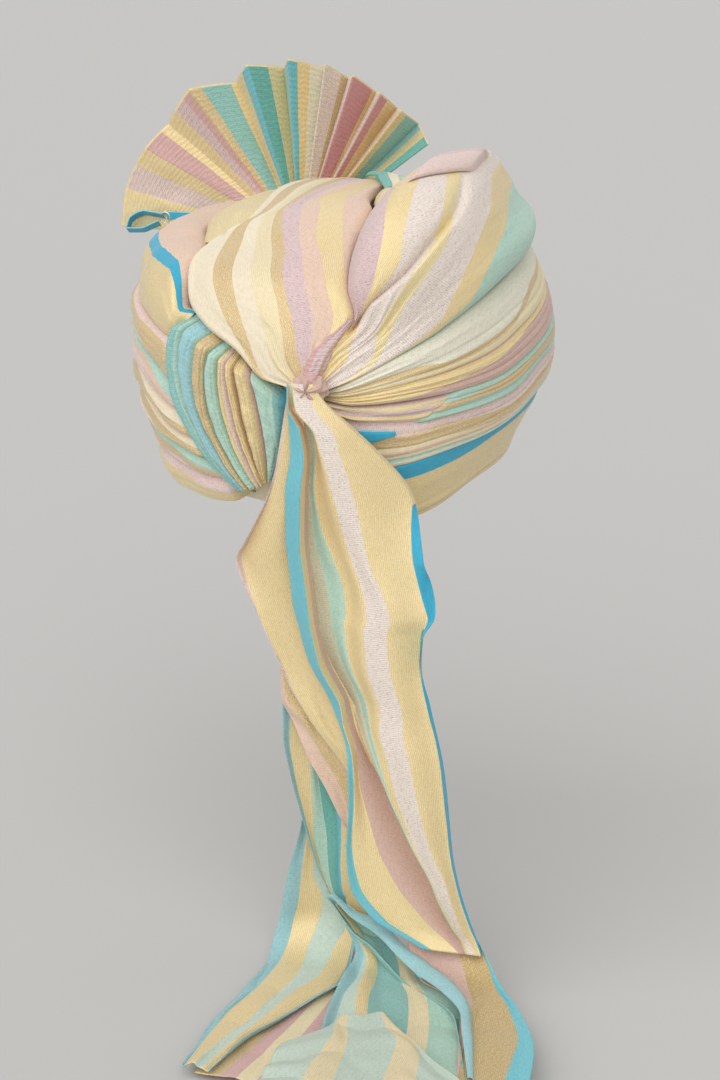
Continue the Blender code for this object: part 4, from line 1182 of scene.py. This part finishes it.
class Knot(bpy.types.Operator):
    """Gathers the knot, the strip up to the pinch and the small tucks beside them"""

    bl_idname = "turban.knot"
    bl_label = "Knot"

    def execute(self, context):
        knot, flat = new_ball("knot_cloth", 96, 48, 0.5)
        around = np.arctan2(flat[:, 2], flat[:, 0])
        depth = flat[:, 1]
        pucker = 1 + 0.07 * np.cos(6 * around + 8 * depth) + 0.06 * np.cos(11 * around - 12 * depth)
        width, thickness, height = KNOT_SIZE
        points = skin(*KNOT_PLACE) + np.column_stack([
            flat[:, 0] * width * pucker, depth * thickness * (1 + 0.3 * np.sin(5 * around)),
            flat[:, 2] * height * pucker,
        ])
        put_points(knot.data, points)
        shares = np.column_stack([depth + 0.5, np.abs(around) / math.pi])
        write_maps(knot.data, shares, KNOT_WEAVE * np.column_stack([around, depth]))
        knot.data.shade_smooth()
        bands = ((0, "mauve"), (0.45, "rose"), (0.7, "mauve"))
        dress(knot, cloth("knot cloth", bands, pucker=0.6), "knot")

        def strip_at(u, v):
            turn, rise = unchart(*along(STRIP_LINE, u))
            return turn + mix(-1, 1, v) * (mix(2.4, 0.9, u) + 1.1 * np.sin(math.pi * u)), rise

        def strip_height(u, v):
            full = 0.0095 + roll(v, (0.0003, 0.45), (0.0003, 0.45), 1.0) * mix(0.0042, 0.0018, u)
            return full + 0.0012 * ripple(u, v, 3, 7, 301)

        bands = ((0, "rose"), (0.3, "lilac"), (0.75, "mauve"))
        fold(
            "gathered_strip_cloth", (90, 24), strip_at, strip_height, cloth("strip cloth", bands, pucker=0.8),
            "gathered_strip",
        )

        def tuck_height(u, v):
            full = roll(v, (0.002, 0.3), (0.002, 0.3), 0.0095) * mix(0.7, 1, ease(0, 0.2, u))
            return full + 0.0012 * ripple(u, v, 3, 7, 311)

        bands = ((0, "pink"), (0.22, "gold"), (0.40, "lilac"), (0.66, "bright"), (0.84, "pink"))
        tuck = between(EDGE_CD, EDGE_BC, (8, 8), (35, 46), (0.4, 0.4))
        material = cloth("tuck cloth", bands)
        fold("knot_tuck_cloth", (80, 40), tuck, tuck_height, material, "knot_tuck")

        def blue_height(u, v):
            return FOLD_DEPTH + roll(v, (0.0004, 0.3), (0.0004, 0.3), 0.0022)

        blue = between(((14, -18), (30, -12.5)), ((14, -10), (30, -11.5)), (15, 15), (29, 29))
        material = cloth("blue tuck cloth", ((0, "blue"), (0.95, "sky")))
        fold(
            "blue_tuck_cloth", (40, 20), blue, blue_height, material, "blue_tuck",
        )
        return {"FINISHED"}


def fan_point(direction, depth, radius):
    """Points of the fan by direction in degrees, depth towards the back, and distance from its foot."""
    fan = bpy.context.scene.turban_fan
    angle = np.radians(direction)
    x = fan.side - radius * np.cos(angle)
    z = fan.height + radius * np.sin(angle) - bpy.context.scene.turban_body.hollow_rise
    return np.stack(np.broadcast_arrays(x, depth - fan.forward, z), axis=-1)


class Fan(bpy.types.Operator):
    """Pleats the upright fan"""

    bl_idname = "turban.fan"
    bl_label = "Fan"

    def execute(self, context):
        fan = context.scene.turban_fan
        folds = np.array(FAN_FOLDS, float)
        places = np.arange(len(folds))

        def where(u, v):
            place = v * (len(folds) - 1)
            direction = np.interp(place, places, folds[:, 0])
            depth = np.interp(place, places, folds[:, 1])
            length = np.interp(place, places, folds[:, 2])
            foot = np.interp(direction, *zip(*FAN_FEET))
            radius = mix(foot, fan.radius * length, u)
            soft = 0.0009 * ripple(u, v, 4, 40, 401) + 0.002 * ripple(u, v, 3, 7, 402) * ease(0.35, 0.1, v)
            return fan_point(direction, depth * fan.pleat * radius / fan.radius + soft, radius)

        # Columns: share of the fan where a stripe starts, from the wearer's left; its kind
        bands = (
            (0, "gold"), (0.053, "pink"), (0.085, "gold"), (0.109, "rose"), (0.148, "gold"),
            (0.185, "lilac"),
            (0.205, "rose"), (0.218, "brown"), (0.232, "teal"), (0.267, "gold"), (0.31, "aqua"),
            (0.335, "sea"),
            (0.362, "gold"), (0.39, "teal"), (0.44, "aqua"), (0.455, "gold"), (0.475, "grey"),
            (0.528, "gold"),
            (0.553, "white"), (0.592, "brown"), (0.61, "white"), (0.66, "wine"), (0.71, "gold"),
            (0.735, "pink"),
            (0.781, "wine"), (0.80, "gold"), (0.85, "pink"), (0.877, "gold"), (0.905, "teal"),
            (0.96, "gold"),
            (0.98, "sea"),
        )
        material = cloth("fan cloth", bands, pucker=0.7, wander=0.002, border=0.987)
        sheet(
            "fan_cloth", (80, 540), where, material, "fan",
            fan.wall, offset=0.0,
        )
        return {"FINISHED"}


class FanTrims(bpy.types.Operator):
    """Adds the fan's ribbon, its loop, the tucked end and the pin's ring"""

    bl_idname = "turban.fan_trims"
    bl_label = "Fan trims"

    def execute(self, context):
        fan = context.scene.turban_fan
        blue = cloth("ribbon cloth", ((0, "blue"), (0.9, "sky")))

        def ribbon(name, points, rising, standing, node):
            """A narrow strip along the fan, as wide as it rises, or as it stands off the fan."""
            table = np.array(points, float)
            steps = np.linspace(0, 1, len(table))

            def where(u, v):
                direction = smooth(np.column_stack([steps, table[:, 0]]), u)
                length = smooth(np.column_stack([steps, table[:, 1]]), u)
                folds = FAN_FOLDS[::-1]
                depth = np.interp(direction, [row[0] for row in folds], [row[1] for row in folds])
                near = depth * fan.pleat * length
                place = fan_point(direction, near + 0.0016 + standing * v, length * fan.radius)
                return place + np.stack([0 * v, 0 * v, rising * (v - 0.5)], axis=-1)

            sheet(
                name, (80, 10), where, blue, node,
                RIBBON_WALL, offset=0.0,
            )

        ribbon("ribbon_cloth", RIBBON_POINTS, 0.0054, 0.0, "fan_ribbon")
        ribbon("loop_cloth", LOOP_POINTS, 0.0040, 0.006, "fan_loop")

        def tuck_height(u, v):
            return FOLD_DEPTH + roll(v, (0.001, 0.4), (0.001, 0.4), 0.0035) + 0.0008 * ripple(u, v, 2, 8, 421)

        tuck = lobe(*[stretch(edge) for edge in TUCK_EDGES])
        bands = ((0, "mint"), (0.35, "cream"), (0.7, "sea"))
        fold(
            "tuck_end_cloth", (80, 30), tuck, tuck_height, cloth("tuck end cloth", bands),
            "fan_tuck", sink=0.8 * CROWN_SINK,
        )

        direction, length = PIN_PLACE
        place = fan_point(direction, PIN_DEPTH * fan.pleat * length + PIN_RADIUS, fan.radius * length)
        bpy.ops.object.select_all(action="DESELECT")
        bpy.ops.mesh.primitive_torus_add(
            major_segments=48, minor_segments=12, major_radius=PIN_RADIUS, minor_radius=PIN_WIRE,
            location=place, rotation=(math.pi / 2, 0, 0),
        )
        ring = bpy.context.object
        ring.name = ring.data.name = "pin_ring"
        bpy.ops.object.transform_apply(location=True, rotation=True, scale=True)
        ring.data.shade_smooth()
        dress(ring, steel(), "fan_pin")
        return {"FINISHED"}


def tail_depth(x, z):
    """How far behind the middle the tail lies at a height."""
    body, tail = bpy.context.scene.turban_body, bpy.context.scene.turban_tail
    level = 1 - (x / (body.half_width + FOLD_DEPTH)) ** 2
    round_part = (body.half_length + FOLD_DEPTH) * np.sqrt(np.maximum(0.0, level))
    return mix(round_part, tail.hang, ease(-0.05, -0.15, z))


def lines_at(rows, distance, v, soft=False):
    """Value between the lines of a table at a share across: every pair of lines takes an equal step."""
    count = len(rows[0]) - 1
    place = np.clip(v, 0, 1) * (count - 1)
    cell = np.minimum(place.astype(int), count - 2)
    values = np.stack([smooth(rows, distance, column) for column in range(1, count + 1)])
    share = place - cell
    index = np.arange(len(v))
    return mix(values[cell, index], values[cell + 1, index], ease(0, 1, share) if soft else share)


def tail_place(distance, x, behind, out=0.0, lift=0.0):
    """Points of the tail: down the back of the body, free below the rim, then out along the floor."""
    body, tail = bpy.context.scene.turban_body, bpy.context.scene.turban_tail
    drop = distance * tail.drop
    floor = tail.floor - FLOOR_GAP - (DEEPEST_LAYER - behind) * FLOOR_LAYER
    hang_end = floor - FLOOR_BEND
    quarter = FLOOR_BEND * math.pi / 2
    angle = np.clip((drop - hang_end) / FLOOR_BEND, 0, math.pi / 2)
    beyond = np.maximum(0, drop - hang_end - quarter)
    z = -np.minimum(drop, hang_end) - FLOOR_BEND * np.sin(angle)
    y = tail_depth(x, np.maximum(-drop, -hang_end)) + FLOOR_BEND * (1 - np.cos(angle)) + beyond
    y = y - behind * mix(BODY_LAYER, HANGING_LAYER, ease(-0.06, -0.14, z))
    share = angle / (math.pi / 2)
    y = y + out * (1 - share)
    z = z + (np.abs(out) + lift) * share
    return np.stack([x, y, z - body.hollow_rise], axis=-1)


class Tail(bpy.types.Operator):
    """Hangs the layers of the free end down from the knot and along the floor"""

    bl_idname = "turban.tail"
    bl_label = "Tail"

    def execute(self, context):
        tail = context.scene.turban_tail
        main_rows = [(row[0], 0.0, *row[1:], 1.0) for row in TAIL_MAIN_LINES]

        def main_where(u, v):
            distance = mix(main_rows[0][0], main_rows[-1][0], u)
            share = lines_at(main_rows, distance, v)
            left, right = (smooth(TAIL_MAIN_EDGES, distance, column) for column in (1, 2))
            x = mix(left, right, share) * tail.width
            out = lines_at(TAIL_MAIN_FOLDS, distance, v, soft=True) * FOLD_STEP
            out = np.where(out < 0, out * mix(0.55, 1.0, ease(0.35, 0.5, distance)), out)
            out = out + 0.0006 * ripple(u, v, 16, 12, 499) * ease(0.05, 0.2, u)
            return tail_place(distance, x, 0, out)

        def main_shares(u, v):
            """Stripe places of the main panel, whose bright edge is folded away above its start."""
            hidden = mix(main_rows[0][0], main_rows[-1][0], u) < EDGE_START
            return np.where(hidden, np.minimum(v, EDGE_SHARE), v)

        bands = even("aqua", "gold", "mauve", "brown", "shade", "mint", "gold", "white", "gold", "blue")
        material = cloth("tail main cloth", bands, wander=0.002)
        sheet(
            "tail_main_cloth", (260, 140), main_where, material, "tail_main_panel",
            tail.wall, shares=main_shares, offset=0.0,
        )
        # Columns: name, node, slot, lines, layers behind the main panel, lift off the floor in millimetres,
        # sheerness, depth of its folds, stripes
        rows = (
            ("tail_gold_cloth", "tail_gold_panel", "gold_cloth", TAIL_GOLD_LINES, 1.0, 0, 0.0, 0.004,
             ("pink", "gold", "gold")),
            ("tail_second_cloth", "tail_gold_panel", "pink_cloth", TAIL_SECOND_LINES, 1.5, 0, 0.0, 0.003,
             ("peach", "brown", "brown")),
            ("tail_teal_cloth", "tail_teal_layer", "teal_cloth", TAIL_TEAL_LINES, 2.0, 0, 0.15, 0.004,
             ("sky", "gold", "mint", "sea", "aqua", "gold")),
            ("tail_swirl_cloth", "tail_teal_layer", "mint_cloth", TAIL_SWIRL_LINES, 1.6, 2, 0.20, 0.006,
             ("sky", "mist", "gold", "teal", "butter", "mint")),
            ("tail_front_cloth", "tail_teal_layer", "mint_cloth", TAIL_FRONT_LINES, 0.8, 6, 0.38, 0.003,
             ("mist", "butter", "mist", "butter", "mist")),
            ("tail_sheer_cloth", "tail_sheer_layer", "mint_cloth", TAIL_SHEER_LINES, 3.0, 3, 0.22, 0.004,
             ("sky", "gold", "mist", "gold", "sky")),
            ("tail_under_cloth", "tail_sheer_layer", "pink_cloth", TAIL_UNDER_LINES, 3.0, 0, 0.0, 0.002,
             ("brown", "rose", "butter", "rose", "brown")),
            ("tail_floor_cloth", "tail_floor_panel", "gold_cloth", TAIL_FOOT_LINES, 0.4, 2, 0.0, 0.003,
             ("mauve", "bronze", "bronze", "aqua")),
        )
        for index, (name, node, slot, table, behind, lift, sheer, depth, kinds) in enumerate(rows):
            def where(u, v, table=table, behind=behind, lift=lift, depth=depth, seed=501 + 11 * index):
                top = smooth(TAIL_FRONT_TOP, v) if table is TAIL_FRONT_LINES else table[0][0]
                distance = mix(top, table[-1][0], u)
                x = lines_at(table, distance, v) * tail.width
                free = ease(0.1, 0.4, distance)
                out = depth * ripple(u, v, 3, 3, seed) + 0.35 * depth * ripple(u, v, 7, 8, seed + 1)
                return tail_place(distance, x, behind, out * free, lift / 1000)
            material = cloth(name.replace("_", " "), even(*kinds), sheer=sheer, wander=0.002)
            sheet(
                name, (180, 64), where, material, node, tail.wall,
                offset=0.0,
            )

        def roll_middle(u):
            place = smooth(TAIL_ROLL, u, 2) * tail.width
            return tail_place(smooth(TAIL_ROLL, u, 1), place, 1.0, 0.0, ROLL_LIFT)

        def unit(vectors):
            return vectors / np.maximum(np.linalg.norm(vectors, axis=1), 1e-9)[:, None]

        def rolled(u, v):
            """An open tube of cloth round the middle line, narrow at both ends."""
            centre = roll_middle(u)
            run = unit(roll_middle(u + ROLL_STEP) - centre)
            side = unit(np.cross(run, (0.0, 1.0, 0.3)))
            up = np.cross(side, run)
            angle = (v * 1.7 + 0.6) * math.pi
            taper = 0.3 + 0.7 * ease(0, 0.2, u) * ease(1.05, 0.45, u)
            radius = ROLL_RADIUS * taper * (1 + 0.2 * ripple(u, v, 9, 4, 611))
            return centre + radius[:, None] * (np.cos(angle)[:, None] * side + np.sin(angle)[:, None] * up)

        material = cloth("tail roll cloth", even("sky", "teal", "mint", "teal"), sheer=0.1)
        sheet(
            "tail_roll_cloth", (160, 40), lambda u, v: rolled(np.minimum(u, 0.985), v), material,
            "tail_teal_layer", tail.wall, offset=0.0,
        )
        return {"FINISHED"}


class Studio(bpy.types.Operator):
    """Sets up the floor, the soft lights and the camera"""

    bl_idname = "turban.studio"
    bl_label = "Studio"

    def execute(self, context):
        scene = context.scene
        studio, tail, body = scene.turban_studio, scene.turban_tail, scene.turban_body
        bpy.ops.object.select_all(action="DESELECT")
        depth = tail.floor + body.hollow_rise + STAGE_GAP
        bpy.ops.mesh.primitive_plane_add(size=STAGE_SIZE, location=(0, 0, -depth))
        floor = bpy.context.object
        floor.name = "floor"
        material = bpy.data.materials.new("floor paper")
        graph = Graph(material)
        graph.shader.inputs["Base Color"].default_value = (*studio.floor_colour, 1)
        graph.shader.inputs["Roughness"].default_value = 0.9
        floor.data.materials.append(material)
        # Columns: name, direction towards the light, softness in degrees, strength
        lights = (
            ("key", (0.25, 1.00, 1.00), 85.0, 2.05),
            ("fill", (-1.0, 0.6, 0.7), 100.0, 0.45),
            ("rim", (0.1, -1.2, 0.9), 50.0, 0.45),
        )
        for name, aim, softness, strength in lights:
            lamp = bpy.data.lights.new(name, "SUN")
            lamp.angle = math.radians(softness)
            lamp.energy = strength
            holder = bpy.data.objects.new(name, lamp)
            scene.collection.objects.link(holder)
            holder.rotation_euler = Vector(aim).to_track_quat("Z", "Y").to_euler()
        world = bpy.data.worlds.new("soft room")
        world.use_nodes = True
        sky = world.node_tree.nodes["Background"]
        sky.inputs["Color"].default_value = ROOM_COLOUR
        sky.inputs["Strength"].default_value = ROOM_LIGHT
        scene.world = world
        lens = bpy.data.cameras.new("camera")
        lens.sensor_fit = "AUTO"
        lens.sensor_width = 36.0
        lens.lens = studio.lens
        lens.clip_start = 0.01
        camera = bpy.data.objects.new("camera", lens)
        scene.collection.objects.link(camera)
        forward = Vector((
            -math.cos(studio.pitch) * math.sin(studio.turn), math.cos(studio.pitch) * math.cos(studio.turn),
            -math.sin(studio.pitch),
        ))
        right = forward.cross(Vector((0, 0, 1))).normalized()
        up = right.cross(forward)
        turn = Matrix((right, up, -forward)).transposed().to_4x4()
        camera.matrix_world = Matrix.Translation(studio.place) @ turn
        scene.camera = camera
        scene.view_settings.view_transform = "Standard"
        return {"FINISHED"}


PIECES = (InnerWraps, Crown, RightWraps, LeftWraps, LeftBundle, Knot, Fan, FanTrims, Tail, Studio)


class TurbanPanel(bpy.types.Panel):
    """Lists the turban's pieces and sizes"""

    bl_idname = "VIEW3D_PT_turban"
    bl_label = "Tied turban"
    bl_space_type = "VIEW_3D"
    bl_region_type = "UI"
    bl_category = "Turban"

    def draw(self, context):
        for operator in PIECES:
            self.layout.operator(operator.bl_idname)
        for group in GROUPS:
            settings = getattr(context.scene, group)
            box = self.layout.box()
            for key in settings.bl_rna.properties.keys():
                if key not in ("rna_type", "name"):
                    box.prop(settings, key)


GROUPS = {
    "turban_body": TurbanBody,
    "turban_fan": TurbanFan,
    "turban_tail": TurbanTail,
    "turban_studio": TurbanStudio,
}
CLASSES = (*GROUPS.values(), *PIECES, TurbanPanel)


def register():
    for kind in CLASSES:
        bpy.utils.register_class(kind)
    for name, kind in GROUPS.items():
        setattr(bpy.types.Scene, name, bpy.props.PointerProperty(type=kind))


def unregister():
    for name in GROUPS:
        delattr(bpy.types.Scene, name)
    for kind in reversed(CLASSES):
        bpy.utils.unregister_class(kind)


def main():
    register()
    for operator in PIECES:
        group, name = operator.bl_idname.split(".")
        getattr(getattr(bpy.ops, group), name)()


if __name__ == "__main__":
    main()
